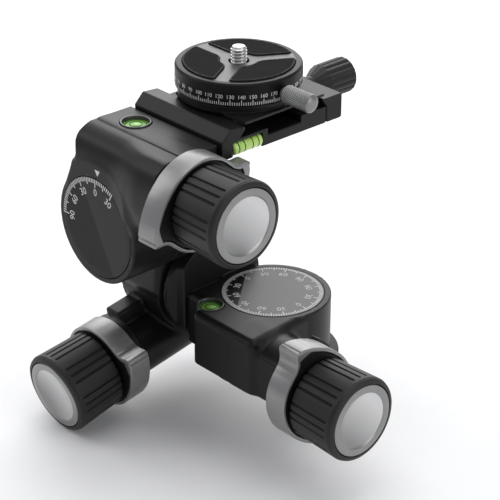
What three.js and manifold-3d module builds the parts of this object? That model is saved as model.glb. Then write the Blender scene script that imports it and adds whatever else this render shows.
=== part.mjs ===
// Three-axis geared camera tripod head with a screw clamp and a turning top plate.
import * as THREE from 'three';
import { mergeVertices } from 'three/addons/utils/BufferGeometryUtils.js';
import Module from 'manifold-3d';

const wasm = await Module();
wasm.setup();

// Driving sizes, in millimetres. Z is the pan axis, X the roll axis and Y the tilt axis.
const panTop = 30;
const panFloor = 6.8;
const panWormHeight = 12.8;
const drumRadius = 23;
const rollAxisY = -8.2;
const rollAxisZ = 26.5;
const tiltAxisX = -35.8;
const tiltAxisZ = 64.2;
const gearCentreDistance = 21.8;
const panKnobReach = 71.1;
const rollKnobReach = 71.5;
const tiltKnobReach = 69.3;
const discTop = 120;
const discCentreX = -21.9;
const discCentreY = 1.9;

// Running and seating clearances.
const seatGap = 0.3;
const boreGap = 0.2;
const weldTolerance = 0.0001;
const cutOverrun = 1;

// Angles in degrees and counts, which do not change with size.
const rollWormDrop = 10;
const fineSegments = 32;
const roundSegments = 20;
const smallSegments = 12;
const filletSteps = 4;
const wheelTeeth = 36;
const knobGroups = 8;
const groovesPerGroup = 3;
const grooveStep = 11;

const material = {
  blackMetal: shade(0x2b2c2e, 0.42, 0.55),
  blackKnob: shade(0x202122, 0.5, 0.1),
  leverGrey: shade(0x9a9b98, 0.38, 0.8),
  capGrey: shade(0xc6c8c7, 0.4, 0.6),
  dialGrey: shade(0x7f8081, 0.45, 0.4),
  silver: shade(0xc8cacc, 0.3, 0.9),
  bronze: shade(0xa8854a, 0.4, 0.8),
  steel: shade(0x8f9296, 0.35, 0.9),
  rubber: shade(0x26272a, 0.85, 0.0),
  fluid: shade(0x9fd84a, 0.15, 0.0),
};

function shade(color, roughness, metalness) {
  return new THREE.MeshStandardMaterial({ color, roughness, metalness });
}

// Solid helpers.
function radians(degrees) {
  return degrees * Math.PI / 180;
}

function solid(geometry) {
  const bare = new THREE.BufferGeometry();
  bare.setAttribute('position', geometry.getAttribute('position'));
  if (geometry.index) {
    bare.setIndex(geometry.index);
  }
  const merged = mergeVertices(bare, weldTolerance);
  const position = merged.getAttribute('position').array;
  const source = merged.index.array;
  const kept = [];
  for (let i = 0; i < source.length; i += 3) {
    const [a, b, c] = [source[i], source[i + 1], source[i + 2]];
    if (a !== b && b !== c && a !== c) {
      kept.push(a, b, c);
    }
  }
  if (signedVolume(position, kept) < 0) {
    for (let i = 0; i < kept.length; i += 3) {
      [kept[i], kept[i + 1]] = [kept[i + 1], kept[i]];
    }
  }
  const mesh = new wasm.Mesh({
    numProp: 3,
    vertProperties: new Float32Array(position),
    triVerts: new Uint32Array(kept),
  });
  return new wasm.Manifold(mesh);
}

function signedVolume(position, index) {
  let sum = 0;
  for (let i = 0; i < index.length; i += 3) {
    const [a, b, c] = [index[i] * 3, index[i + 1] * 3, index[i + 2] * 3];
    sum += position[a] * (position[b + 1] * position[c + 2] - position[b + 2] * position[c + 1]);
    sum -= position[a + 1] * (position[b] * position[c + 2] - position[b + 2] * position[c]);
    sum += position[a + 2] * (position[b] * position[c + 1] - position[b + 1] * position[c]);
  }
  return sum;
}

function toGeometry(body) {
  const mesh = body.getMesh();
  const geometry = new THREE.BufferGeometry();
  const position = new Float32Array(mesh.numVert * 3);
  for (let i = 0; i < mesh.numVert; i += 1) {
    for (let k = 0; k < 3; k += 1) {
      position[i * 3 + k] = mesh.vertProperties[i * mesh.numProp + k];
    }
  }
  geometry.setAttribute('position', new THREE.BufferAttribute(position, 3));
  geometry.setIndex(new THREE.BufferAttribute(new Uint32Array(mesh.triVerts), 1));
  geometry.computeVertexNormals();
  return geometry;
}

function joinAll(bodies) {
  return bodies.reduce((whole, body) => whole.add(body));
}

function cutAll(body, cutters) {
  return body.subtract(joinAll(cutters));
}

// A turned body about the local Z axis from [radius, height] pairs, moved by a frame.
function turned(profile, frame, segments) {
  const points = profile.map(([radius, height]) => new THREE.Vector2(radius, height));
  const geometry = new THREE.LatheGeometry(points, segments);
  geometry.rotateX(Math.PI / 2);
  geometry.applyMatrix4(frame);
  return solid(geometry);
}

function rod(radius, low, high, frame, segments) {
  return turned([[0, low], [radius, low], [radius, high], [0, high]], frame, segments);
}

function edgedRod(radius, low, high, edge, frame, segments) {
  const profile = [
    [0, low],
    [radius - edge, low],
    [radius, low + edge],
    [radius, high - edge],
    [radius - edge, high],
    [0, high],
  ];
  return turned(profile, frame, segments);
}

// A straight body over a flat outline, from one height to another along the frame's Z axis.
function prism(outline, low, high, frame) {
  const shape = new THREE.Shape(outline.map(([x, y]) => new THREE.Vector2(x, y)));
  const geometry = new THREE.ExtrudeGeometry(shape, { depth: high - low, bevelEnabled: false });
  geometry.translate(0, 0, low);
  geometry.applyMatrix4(frame);
  return solid(geometry);
}

// A body through matching outlines, each an array of [x, y] with its own height.
function loft(sections, frame) {
  const count = sections[0].outline.length;
  const position = [];
  const index = [];
  for (const section of sections) {
    for (const [x, y] of section.outline) {
      position.push(x, y, section.height);
    }
  }
  for (let s = 0; s + 1 < sections.length; s += 1) {
    for (let i = 0; i < count; i += 1) {
      const a = s * count + i;
      const b = s * count + (i + 1) % count;
      index.push(a, b, b + count, a, b + count, a + count);
    }
  }
  const flat = sections[0].outline.map(([x, y]) => new THREE.Vector2(x, y));
  const last = (sections.length - 1) * count;
  const top = sections[sections.length - 1].outline.map(([x, y]) => new THREE.Vector2(x, y));
  for (const [a, b, c] of THREE.ShapeUtils.triangulateShape(flat, [])) {
    index.push(c, b, a);
  }
  for (const [a, b, c] of THREE.ShapeUtils.triangulateShape(top, [])) {
    index.push(last + a, last + b, last + c);
  }
  const geometry = new THREE.BufferGeometry();
  geometry.setAttribute('position', new THREE.Float32BufferAttribute(position, 3));
  geometry.setIndex(index);
  geometry.applyMatrix4(frame);
  return solid(geometry);
}

function block(low, high) {
  const geometry = new THREE.BoxGeometry(high[0] - low[0], high[1] - low[1], high[2] - low[2]);
  geometry.translate((high[0] + low[0]) / 2, (high[1] + low[1]) / 2, (high[2] + low[2]) / 2);
  return solid(geometry);
}

// An outline whose corners [x, y, radius] are rounded.
function rounded(corners) {
  const outline = [];
  const count = corners.length;
  corners.forEach(([x, y, radius], i) => {
    if (!radius) {
      outline.push([x, y]);
      return;
    }
    const here = new THREE.Vector2(x, y);
    const before = new THREE.Vector2(...corners[(i + count - 1) % count].slice(0, 2)).sub(here);
    const after = new THREE.Vector2(...corners[(i + 1) % count].slice(0, 2)).sub(here);
    const angle = Math.abs(Math.acos(before.clone().normalize().dot(after.clone().normalize())));
    const reach = radius / Math.tan(angle / 2);
    const start = here.clone().add(before.normalize().multiplyScalar(reach));
    const end = here.clone().add(after.normalize().multiplyScalar(reach));
    const middle = before.clone().add(after).normalize();
    const centre = here.clone().add(middle.multiplyScalar(radius / Math.sin(angle / 2)));
    const from = start.clone().sub(centre);
    const turn = from.clone().cross(end.clone().sub(centre)) > 0 ? 1 : -1;
    for (let k = 0; k <= filletSteps; k += 1) {
      const swing = turn * (Math.PI - angle) * k / filletSteps;
      const point = from.clone().rotateAround(new THREE.Vector2(), swing).add(centre);
      outline.push([point.x, point.y]);
    }
  });
  return outline;
}

function basis(origin, right, up, out) {
  const matrix = new THREE.Matrix4().makeBasis(
    new THREE.Vector3(...right),
    new THREE.Vector3(...up),
    new THREE.Vector3(...out),
  );
  return matrix.setPosition(...origin);
}

const world = new THREE.Matrix4();

// Frames of the three drums: origin at the dial face's centre, local Z out of the dial.
const tiltFaceY = -58.1;
const rollFaceX = -56.2;
const panDrum = basis([0, 0, panTop], [1, 0, 0], [0, 1, 0], [0, 0, 1]);
const rollDrum = basis([rollFaceX, rollAxisY, rollAxisZ], [0, 1, 0], [0, 0, -1], [-1, 0, 0]);
const tiltDrum = basis([tiltAxisX, tiltFaceY, tiltAxisZ], [1, 0, 0], [0, 0, 1], [0, -1, 0]);

// Frames of the three drives: origin on the worm beside the drum, local Z towards the knob.
const rollWormX = -45.3;
const tiltWormY = -44.8;
const dropCos = Math.cos(radians(rollWormDrop));
const dropSin = Math.sin(radians(rollWormDrop));
const panDrive = basis(
  [0, -gearCentreDistance, panWormHeight],
  [0, 1, 0],
  [0, 0, 1],
  [1, 0, 0],
);
const rollDrive = basis(
  [
    rollWormX,
    rollAxisY + gearCentreDistance * dropSin,
    rollAxisZ - gearCentreDistance * dropCos,
  ],
  [1, 0, 0],
  [0, -dropSin, dropCos],
  [0, -dropCos, -dropSin],
);
const tiltDrive = basis(
  [tiltAxisX, tiltWormY, tiltAxisZ + gearCentreDistance],
  [0, 1, 0],
  [0, 0, 1],
  [1, 0, 0],
);

// Depths inside each drum, counted down from its dial face.
const dialRadius = 20.2;
const dialThickness = 1.5;
const dialRecess = 1.8;
const axleRadius = 5;
const axleHeadRadius = 8;
const axleHeadThickness = 1.4;
const counterboreDepth = 3.5;
const wheelRadius = 17.9;
const toothDepth = 0.9;
const wheelThickness = 7;
const cavityRadius = 18.6;
const cavityClearance = 1;
const panWormDepth = panTop - panWormHeight;
const rollWormDepth = rollWormX - rollFaceX;
const tiltWormDepth = tiltWormY - tiltFaceY;

function drumCutters(frame, wormDepth, openDepth) {
  const ceiling = wormDepth - wheelThickness / 2 - cavityClearance;
  return [
    rod(dialRadius + seatGap, -dialRecess, cutOverrun, frame, fineSegments),
    rod(axleHeadRadius + seatGap, -counterboreDepth, -dialRecess / 2, frame, roundSegments),
    rod(axleRadius + seatGap, -openDepth, -dialRecess, frame, roundSegments),
    rod(cavityRadius, -openDepth - cutOverrun, -ceiling, frame, fineSegments),
  ];
}

function dialPlate(frame) {
  return rod(dialRadius, -dialThickness, 0, frame, fineSegments);
}

function axle(frame, footDepth) {
  const headFloor = dialRecess + axleHeadThickness;
  const profile = [
    [0, -footDepth],
    [axleRadius, -footDepth],
    [axleRadius, -headFloor],
    [axleHeadRadius, -headFloor],
    [axleHeadRadius, -dialRecess],
    [0, -dialRecess],
  ];
  return turned(profile, frame, roundSegments);
}

function wormWheel(frame, wormDepth) {
  const outline = [];
  for (let i = 0; i < wheelTeeth * 2; i += 1) {
    const radius = i % 2 ? wheelRadius - toothDepth : wheelRadius;
    const angle = Math.PI * i / wheelTeeth;
    outline.push([radius * Math.cos(angle), radius * Math.sin(angle)]);
  }
  const low = -wormDepth - wheelThickness / 2;
  const high = -wormDepth + wheelThickness / 2;
  const bore = rod(axleRadius + boreGap, low - cutOverrun, high + cutOverrun, frame, roundSegments);
  return prism(outline, low, high, frame).subtract(bore);
}

// The drive: worm, sleeve, hub, lever, knob and cap, all about the local Z axis.
const wormRadius = 3.6;
const wormRoot = 2.7;
const shaftRadius = 2.5;
const wormHalfLength = 8.4;
const wormPitch = 3.12;
const wormTail = 10.3;
const wormBoreRadius = 4.2;
const wormBoreTail = 10.8;
const sleeveRadius = 4.6;
const sleeveStart = 12;
const shaftEndBack = 8;
const neckBack = 32.9;
const leverBack = 32.6;
const leverFrontBack = 22.9;
const hubBack = 32.5;
const hubFrontBack = 23.5;
const knobBack = 22;
const wormRows = 16;
const wormSides = 6;

function wormShaft(frame, reach) {
  const start = -wormHalfLength;
  const sections = [];
  for (let row = 0; row <= wormRows; row += 1) {
    const height = start + 2 * wormHalfLength * row / wormRows;
    const outline = [];
    for (let i = 0; i < wormSides; i += 1) {
      const angle = 2 * Math.PI * i / wormSides;
      const turn = height / wormPitch - i / wormSides;
      const swell = row === 0 || row === wormRows ? 0 : Math.abs(2 * (turn - Math.floor(turn)) - 1);
      const radius = wormRoot + (wormRadius - wormRoot) * swell;
      outline.push([radius * Math.cos(angle), radius * Math.sin(angle)]);
    }
    sections.push({ outline, height });
  }
  const shaft = rod(shaftRadius, -wormTail, reach - shaftEndBack, frame, smallSegments);
  return loft(sections, frame).add(shaft);
}

function sleeve(frame, reach) {
  const high = reach - hubFrontBack;
  const profile = [
    [shaftRadius + boreGap, sleeveStart],
    [sleeveRadius, sleeveStart],
    [sleeveRadius, high],
    [shaftRadius + boreGap, high],
    [shaftRadius + boreGap, sleeveStart],
  ];
  return turned(profile, frame, smallSegments);
}

function driveCutters(frame, reach) {
  const end = reach - neckBack + cutOverrun;
  return [
    rod(wormBoreRadius, -wormBoreTail, sleeveStart, frame, smallSegments),
    rod(sleeveRadius + seatGap, sleeveStart - seatGap, end, frame, smallSegments),
  ];
}

// The release lever: a ring with two thumb wings. Each rises slowly to a tip and drops steeply.
const leverRingRadius = 17.7;
const leverWall = 1.4;
const leverEdge = 0.4;
const hubGap = 0.25;
const leverWings = 2;
const leverWingShares = [
  [0, 1.424],
  [2.5, 1.333],
  [4.5, 1.209],
  [8, 1.124],
  [13, 1.073],
  [22, 1.051],
  [38, 1.045],
  [55, 1.028],
  [75, 1.006],
  [90, 1],
  [105, 1.006],
  [120, 1.023],
  [130, 1.056],
  [140, 1.102],
  [150, 1.158],
  [160, 1.237],
  [170, 1.333],
  [176, 1.39],
];

function leverOutline(tip) {
  const outline = [];
  for (let wing = 0; wing < leverWings; wing += 1) {
    for (const [angle, share] of leverWingShares) {
      const swing = radians(angle + tip + 360 * wing / leverWings);
      const radius = share * leverRingRadius;
      outline.push([radius * Math.cos(swing), radius * Math.sin(swing)]);
    }
  }
  return outline;
}

// The same outline moved inwards by a distance along its own normals.
function inset(outline, distance) {
  const count = outline.length;
  return outline.map(([x, y], i) => {
    const [ax, ay] = outline[(i + count - 1) % count];
    const [bx, by] = outline[(i + 1) % count];
    const before = new THREE.Vector2(x - ax, y - ay).normalize();
    const after = new THREE.Vector2(bx - x, by - y).normalize();
    const tangent = before.add(after).normalize();
    return [x - tangent.y * distance, y + tangent.x * distance];
  });
}

function lever(frame, reach, tip) {
  const outline = leverOutline(tip);
  const low = reach - leverBack;
  const high = reach - leverFrontBack;
  const outer = loft([
    { outline: inset(outline, leverEdge), height: low },
    { outline, height: low + leverEdge },
    { outline, height: high - leverEdge },
    { outline: inset(outline, leverEdge), height: high },
  ], frame);
  const inner = prism(inset(outline, leverWall), low - cutOverrun, high + cutOverrun, frame);
  return outer.subtract(inner);
}

function leverHub(frame, reach, tip) {
  const low = reach - hubBack;
  const high = reach - hubFrontBack;
  const body = prism(inset(leverOutline(tip), leverWall + hubGap), low, high, frame);
  const bore = rod(sleeveRadius + boreGap, low - cutOverrun, high + cutOverrun, frame, smallSegments);
  return body.subtract(bore);
}

// The upper lever and its hub are cut back where they sweep past the clamp's end.
const reliefRadius = 18.4;
const reliefReach = 30;
const reliefLowAngle = -4;
const reliefHighAngle = 46;
const reliefSteps = 6;

function clampRelief() {
  const outline = [];
  for (let i = 0; i <= reliefSteps; i += 1) {
    const angle = radians(reliefLowAngle + (reliefHighAngle - reliefLowAngle) * i / reliefSteps);
    outline.push([reliefReach * Math.cos(angle), reliefReach * Math.sin(angle)]);
  }
  for (let i = reliefSteps; i >= 0; i -= 1) {
    const angle = radians(reliefLowAngle + (reliefHighAngle - reliefLowAngle) * i / reliefSteps);
    outline.push([reliefRadius * Math.cos(angle), reliefRadius * Math.sin(angle)]);
  }
  const low = tiltKnobReach - leverBack - cutOverrun;
  return prism(outline, low, vialX + vialRadius + seatGap - tiltAxisX, tiltDrive);
}

const knobRearRadius = 15.9;
const knobRadius = 16.7;
const knobRearEdge = 0.4;
const knobFrontBack = 0.2;
const knobShoulderBack = 1.9;
const knobShoulderRadius = 16.2;
const knobLipBack = 0.7;
const knobLipRadius = 15;
const knobBoreRadius = 2.7;
const knobBoreBack = 7;
const knobRecessRadius = 12.6;
const knobRecessDepth = 5;
const capRadius = 14.3;
const capThickness = 2.6;
const capEdge = 0.25;
const capRingRadius = 11.5;
const capDishDepth = 1.3;
const dishMiddleShare = 0.7;
const dishMiddleDepthShare = 0.75;
const grooveDepth = 0.9;
const grooveHalfWidth = 0.35;
const grooveFloorHalfWidth = 0.25;
const grooveFrontBack = 3.6;

function knob(frame, reach, turn) {
  const rear = reach - knobBack;
  const pocket = reach - capThickness - seatGap;
  const profile = [
    [0, reach - knobBoreBack],
    [knobBoreRadius, reach - knobBoreBack],
    [knobBoreRadius, rear + knobRecessDepth],
    [knobRecessRadius, rear + knobRecessDepth],
    [knobRecessRadius, rear],
    [knobRearRadius - knobRearEdge, rear],
    [knobRearRadius, rear + knobRearEdge],
    [knobRadius, reach - knobShoulderBack],
    [knobShoulderRadius, reach - knobLipBack],
    [knobLipRadius, reach - knobFrontBack],
    [capRadius + seatGap, reach - knobFrontBack],
    [capRadius + seatGap, pocket],
    [0, pocket],
  ];
  const body = turned(profile, frame, knobGroups * 4);
  const grooves = [];
  for (let i = 0; i < knobGroups; i += 1) {
    for (let k = 0; k < groovesPerGroup; k += 1) {
      const offCentre = grooveStep * (k - (groovesPerGroup - 1) / 2);
      grooves.push(groove(frame, reach, radians(turn + 360 * i / knobGroups + offCentre)));
    }
  }
  return cutAll(body, grooves);
}

function groove(frame, reach, angle) {
  const section = (radius) => {
    const corners = [
      [radius - grooveDepth, -grooveFloorHalfWidth],
      [radius + grooveDepth, -grooveHalfWidth - grooveFloorHalfWidth],
      [radius + grooveDepth, grooveHalfWidth + grooveFloorHalfWidth],
      [radius - grooveDepth, grooveFloorHalfWidth],
    ];
    return corners.map(([x, y]) => [
      x * Math.cos(angle) - y * Math.sin(angle),
      x * Math.sin(angle) + y * Math.cos(angle),
    ]);
  };
  return loft([
    { outline: section(knobRearRadius), height: reach - knobBack - cutOverrun },
    { outline: section(knobRadius), height: reach - grooveFrontBack },
  ], frame);
}

function knobCap(frame, reach) {
  const floor = reach - capThickness;
  const profile = [
    [0, floor],
    [capRadius, floor],
    [capRadius, reach - capEdge],
    [capRadius - capEdge, reach],
    [capRingRadius, reach],
    [capRingRadius * dishMiddleShare, reach - capDishDepth * dishMiddleDepthShare],
    [0, reach - capDishDepth],
  ];
  return turned(profile, frame, roundSegments);
}

// A stop sector on the housing just behind the lever, on the side of the gear.
const stopOuterRadius = 19.4;
const stopInnerRadius = 9;
const stopThickness = 3.4;
const stopHalfAngle = 62;
const stopSteps = 8;

function stopSector(frame, reach, middle) {
  const outline = [];
  for (let i = 0; i <= stopSteps; i += 1) {
    const angle = radians(middle - stopHalfAngle + 2 * stopHalfAngle * i / stopSteps);
    outline.push([stopOuterRadius * Math.cos(angle), stopOuterRadius * Math.sin(angle)]);
  }
  for (let i = stopSteps; i >= 0; i -= 2) {
    const angle = radians(middle - stopHalfAngle + 2 * stopHalfAngle * i / stopSteps);
    outline.push([stopInnerRadius * Math.cos(angle), stopInnerRadius * Math.sin(angle)]);
  }
  const high = reach - neckBack;
  return prism(outline, high - stopThickness, high, frame);
}

// Base plate with the tripod socket, fixed to the tripod.
const baseRadius = 26.5;
const baseEdge = 0.6;
const baseRimTop = 5;
const baseStepRadius = 21.8;
const baseHubRadius = 10;
const bushRadius = 7.1;
const bushFloor = 0.2;
const bushTop = 8.4;
const socketRadius = 4.2;

function basePlate() {
  const hubTop = panWormHeight - wheelThickness / 2 - seatGap;
  const bore = bushRadius + boreGap;
  const profile = [
    [bore, 0],
    [baseRadius - baseEdge, 0],
    [baseRadius, baseEdge],
    [baseRadius, baseRimTop - baseEdge],
    [baseRadius - baseEdge, baseRimTop],
    [baseStepRadius, baseRimTop],
    [baseStepRadius, panFloor - seatGap],
    [baseHubRadius, panFloor - seatGap],
    [baseHubRadius, hubTop],
    [bore, hubTop],
    [bore, 0],
  ];
  return turned(profile, world, fineSegments);
}

function socketBush() {
  const profile = [
    [socketRadius, bushFloor],
    [bushRadius, bushFloor],
    [bushRadius, bushTop],
    [socketRadius, bushTop],
    [socketRadius, bushFloor],
  ];
  return turned(profile, world, roundSegments);
}

// Pan housing: drum, worm block, neck, and the upright flange that carries the roll drum.
const drumEdge = 0.6;
const panBlockFront = -34;
const panBlockRight = 24.9;
const panBlockRightInner = 22.2;
const panBlockRightInnerY = 6;
const panBlockLeft = -8.6;
const panShoulderX = -12.4;
const panShoulderY = -27.4;
const panNeckY = -24.6;
const panNeckX = -23;
const panBackY = 12;
const panCornerRadius = 3;
const panTopFillet = 3;
const panBottomFillet = 1.6;
const neckRadius = 15.5;
const neckFrontY = -32.2;
const neckStart = 22;
const flangeRadius = 22.3;
const flangeOuterX = -30.6;
const flangeInnerX = -22.6;
const flangeEdge = 0.8;
const levelRingRadius = 5.4;
const levelGlassRadius = 4.4;
const levelRecessDepth = 2.7;
const levelStand = 0.3;
const panLevelX = -8.4;
const panLevelY = -25.2;
const flangeSweepStepX = 1;
const flangeSweepMidX = 2.4;
const flangeSweepEndX = 5.2;
const flangeSweepMidY = 1.9;
const flangeSweepEndY = 4.6;
const flangeBoreEnd = -24.5;

function alongX(y, z) {
  return basis([0, y, z], [0, 1, 0], [0, 0, 1], [1, 0, 0]);
}

function panBlock() {
  const plan = rounded([
    [0, panBackY, 0],
    [panBlockRightInner, panBlockRightInnerY, 0],
    [panBlockRight, panBlockFront, panCornerRadius],
    [panBlockLeft, panBlockFront, panCornerRadius],
    [panShoulderX, panShoulderY, panCornerRadius],
    [panShoulderX - panCornerRadius, panNeckY, 0],
    [panNeckX, panNeckY, panCornerRadius / 2],
    [panNeckX, panBackY, 0],
  ]);
  const side = rounded([
    [panBlockFront, panFloor, panBottomFillet],
    [drumRadius, panFloor, 0],
    [drumRadius, panTop, 0],
    [panBlockFront, panTop, panTopFillet],
  ]);
  const upright = prism(plan, panFloor, panTop, world);
  const across = prism(side, -2 * drumRadius, 2 * drumRadius, alongX(0, 0));
  return upright.intersect(across);
}

function panNeck() {
  const end = panKnobReach - neckBack;
  const round = edgedRod(neckRadius, neckStart, end, drumEdge, panDrive, fineSegments);
  const keep = block(
    [0, neckFrontY, panFloor],
    [end + cutOverrun, drumRadius, panTop],
  );
  const stop = stopSector(panDrive, panKnobReach, 0);
  const keepStop = block(
    [0, -2 * drumRadius, panFloor],
    [end + cutOverrun, drumRadius, 2 * panTop],
  );
  return round.intersect(keep).add(stop.intersect(keepStop));
}

function rollFlange() {
  const left = rollAxisY - flangeRadius - cutOverrun;
  const plan = [
    [flangeOuterX - cutOverrun, left],
    [flangeOuterX + flangeSweepStepX, left],
    [flangeOuterX + flangeSweepStepX, left + cutOverrun + flangeSweepMidY / 2],
    [flangeOuterX + flangeSweepMidX, left + cutOverrun + flangeSweepMidY],
    [flangeOuterX + (flangeSweepMidX + flangeSweepEndX) / 2, left + flangeSweepEndY],
    [flangeInnerX, left + cutOverrun + flangeSweepEndY],
    [flangeInnerX, rollAxisY + 2 * flangeRadius],
    [flangeOuterX - cutOverrun, rollAxisY + 2 * flangeRadius],
  ];
  const standing = prism(plan, panFloor, rollAxisZ + 2 * flangeRadius, world);
  const round = edgedRod(
    flangeRadius,
    flangeOuterX,
    flangeInnerX + flangeEdge,
    flangeEdge,
    alongX(rollAxisY, rollAxisZ),
    fineSegments,
  );
  return standing.intersect(round);
}

function levelCutter(x, y, top, radius) {
  const frame = basis([x, y, top], [1, 0, 0], [0, 1, 0], [0, 0, 1]);
  return rod(radius + seatGap, -levelRecessDepth, cutOverrun, frame, roundSegments);
}

function panHousing() {
  const drum = edgedRod(drumRadius, panFloor, panTop, drumEdge, world, fineSegments);
  const body = joinAll([drum, panBlock(), panNeck(), rollFlange()]);
  const axleBore = rod(
    axleRadius + boreGap,
    flangeOuterX - cutOverrun,
    flangeBoreEnd,
    alongX(rollAxisY, rollAxisZ),
    roundSegments,
  );
  return cutAll(body, [
    ...drumCutters(panDrum, panWormDepth, panTop - panFloor),
    ...driveCutters(panDrive, panKnobReach),
    levelCutter(panLevelX, panLevelY, panTop, levelRingRadius),
    axleBore,
  ]);
}

// Bull's-eye levels: a ring and a domed vial in a round recess.
const levelGlassEdge = 0.4;
const levelGlassTop = 0.1;

function levelRing(x, y, top, radius) {
  const frame = basis([x, y, top], [1, 0, 0], [0, 1, 0], [0, 0, 1]);
  const inner = radius - (levelRingRadius - levelGlassRadius) + boreGap;
  const floor = -levelRecessDepth + seatGap;
  const profile = [
    [inner, floor],
    [radius, floor],
    [radius, levelStand - levelGlassTop],
    [radius - levelGlassTop, levelStand],
    [inner, levelStand],
    [inner, floor],
  ];
  return turned(profile, frame, roundSegments);
}

function levelVial(x, y, top, radius) {
  const frame = basis([x, y, top], [1, 0, 0], [0, 1, 0], [0, 0, 1]);
  const glass = radius - (levelRingRadius - levelGlassRadius);
  const profile = [
    [0, -levelRecessDepth + seatGap],
    [glass, -levelRecessDepth + seatGap],
    [glass, -levelGlassEdge],
    [glass * 0.92, -levelGlassTop],
    [0, 0],
  ];
  return turned(profile, frame, smallSegments);
}

// Roll housing: drum, worm tube with its rib, and the arm that carries the tilt drum.
const rollDrumInnerX = -33;
const rollBossInnerX = -31;
const rollBossRadius = 20;
const rollTubeRadius = 12.4;
const rollTubeTail = 13.2;
const ribLeft = -8.5;
const ribRight = -1;
const ribTop = 17;
const ribStart = 6;
const ribFrontBack = 37.5;
const armFront = -31.2;
const armBack = -10;
const armDiscRadius = 14.4;
const tiltFlangeRadius = 22.3;
const tiltFlangeFront = -34.6;
const tiltFlangeBack = -26;
const tiltDrumBack = -34.9;
const tiltAxleFoot = -18;

function alongY(x, z) {
  return basis([x, 0, z], [0, 0, 1], [1, 0, 0], [0, 1, 0]);
}

function rollHousing() {
  const frame = alongX(rollAxisY, rollAxisZ);
  const drum = edgedRod(drumRadius, rollFaceX, rollDrumInnerX, drumEdge, frame, fineSegments);
  const boss = rod(rollBossRadius, rollFaceX / 2 + rollDrumInnerX / 2, rollBossInnerX, frame, fineSegments);
  const end = rollKnobReach - neckBack;
  const tube = edgedRod(rollTubeRadius, -rollTubeTail, end, drumEdge, rollDrive, roundSegments);
  const rib = prism(
    [[ribLeft, 0], [ribRight, 0], [ribRight, ribTop], [ribLeft, ribTop]],
    ribStart,
    rollKnobReach - ribFrontBack,
    rollDrive,
  );
  const stop = stopSector(rollDrive, rollKnobReach, 90);
  const column = prism(
    [
      [rollFaceX, rollAxisZ],
      [rollDrumInnerX, rollAxisZ],
      [rollDrumInnerX, tiltAxisZ],
      [rollFaceX, tiltAxisZ],
    ],
    -armBack,
    -armFront,
    basis([0, 0, 0], [1, 0, 0], [0, 0, 1], [0, -1, 0]),
  );
  const armDisc = rod(
    armDiscRadius,
    armFront,
    armBack,
    alongY(tiltAxisX, tiltAxisZ),
    fineSegments,
  );
  const flange = edgedRod(
    tiltFlangeRadius,
    tiltFlangeFront,
    tiltFlangeBack,
    flangeEdge,
    alongY(tiltAxisX, tiltAxisZ),
    fineSegments,
  );
  const axleBore = rod(
    axleRadius + boreGap,
    tiltFlangeFront - cutOverrun,
    tiltAxleFoot + seatGap,
    alongY(tiltAxisX, tiltAxisZ),
    roundSegments,
  );
  return cutAll(joinAll([drum, boss, tube, rib, stop, column, armDisc, flange]), [
    ...drumCutters(rollDrum, rollWormDepth, rollBossInnerX - rollFaceX),
    ...driveCutters(rollDrive, rollKnobReach),
    axleBore,
  ]);
}

// Tilt housing: drum, worm housing with a flare, the top platform and the clamp's saddle.
const tiltDrumRadius = 22.6;
const wormHousingRadius = 16;
const flareRadius = 18.4;
const flareStart = 16;
const flareEnd = 25;
const tiltLeftX = -49.3;
const tiltWebRight = -20;
const tiltWebFillet = 6;
const platformTop = 101.8;
const platformBack = -29;
const platformLow = 87.2;
const flangeSweep = 3;
const saddleTop = 95.4;
const saddleLow = 88.4;
const saddleBack = 12;
const saddleLeft = -44;
const saddleRight = -15;
const tiltLevelX = -35.8;
const tiltLevelY = -37.7;
const tiltLevelRadius = 6;
const clampBoltRadius = 2;
const clampBoltHeadRadius = 3.4;
const clampBoltHeadTop = 99.4;
const clampBoltSeat = 97.4;
const clampBoltFoot = 90;
const clampBoltLeftX = -38;
const clampBoltRightX = -20;
const clampBoltY = 2.8;
const clampBoltXs = [clampBoltLeftX, clampBoltRightX];

function upright(x, y) {
  return basis([x, y, 0], [1, 0, 0], [0, 1, 0], [0, 0, 1]);
}

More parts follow.
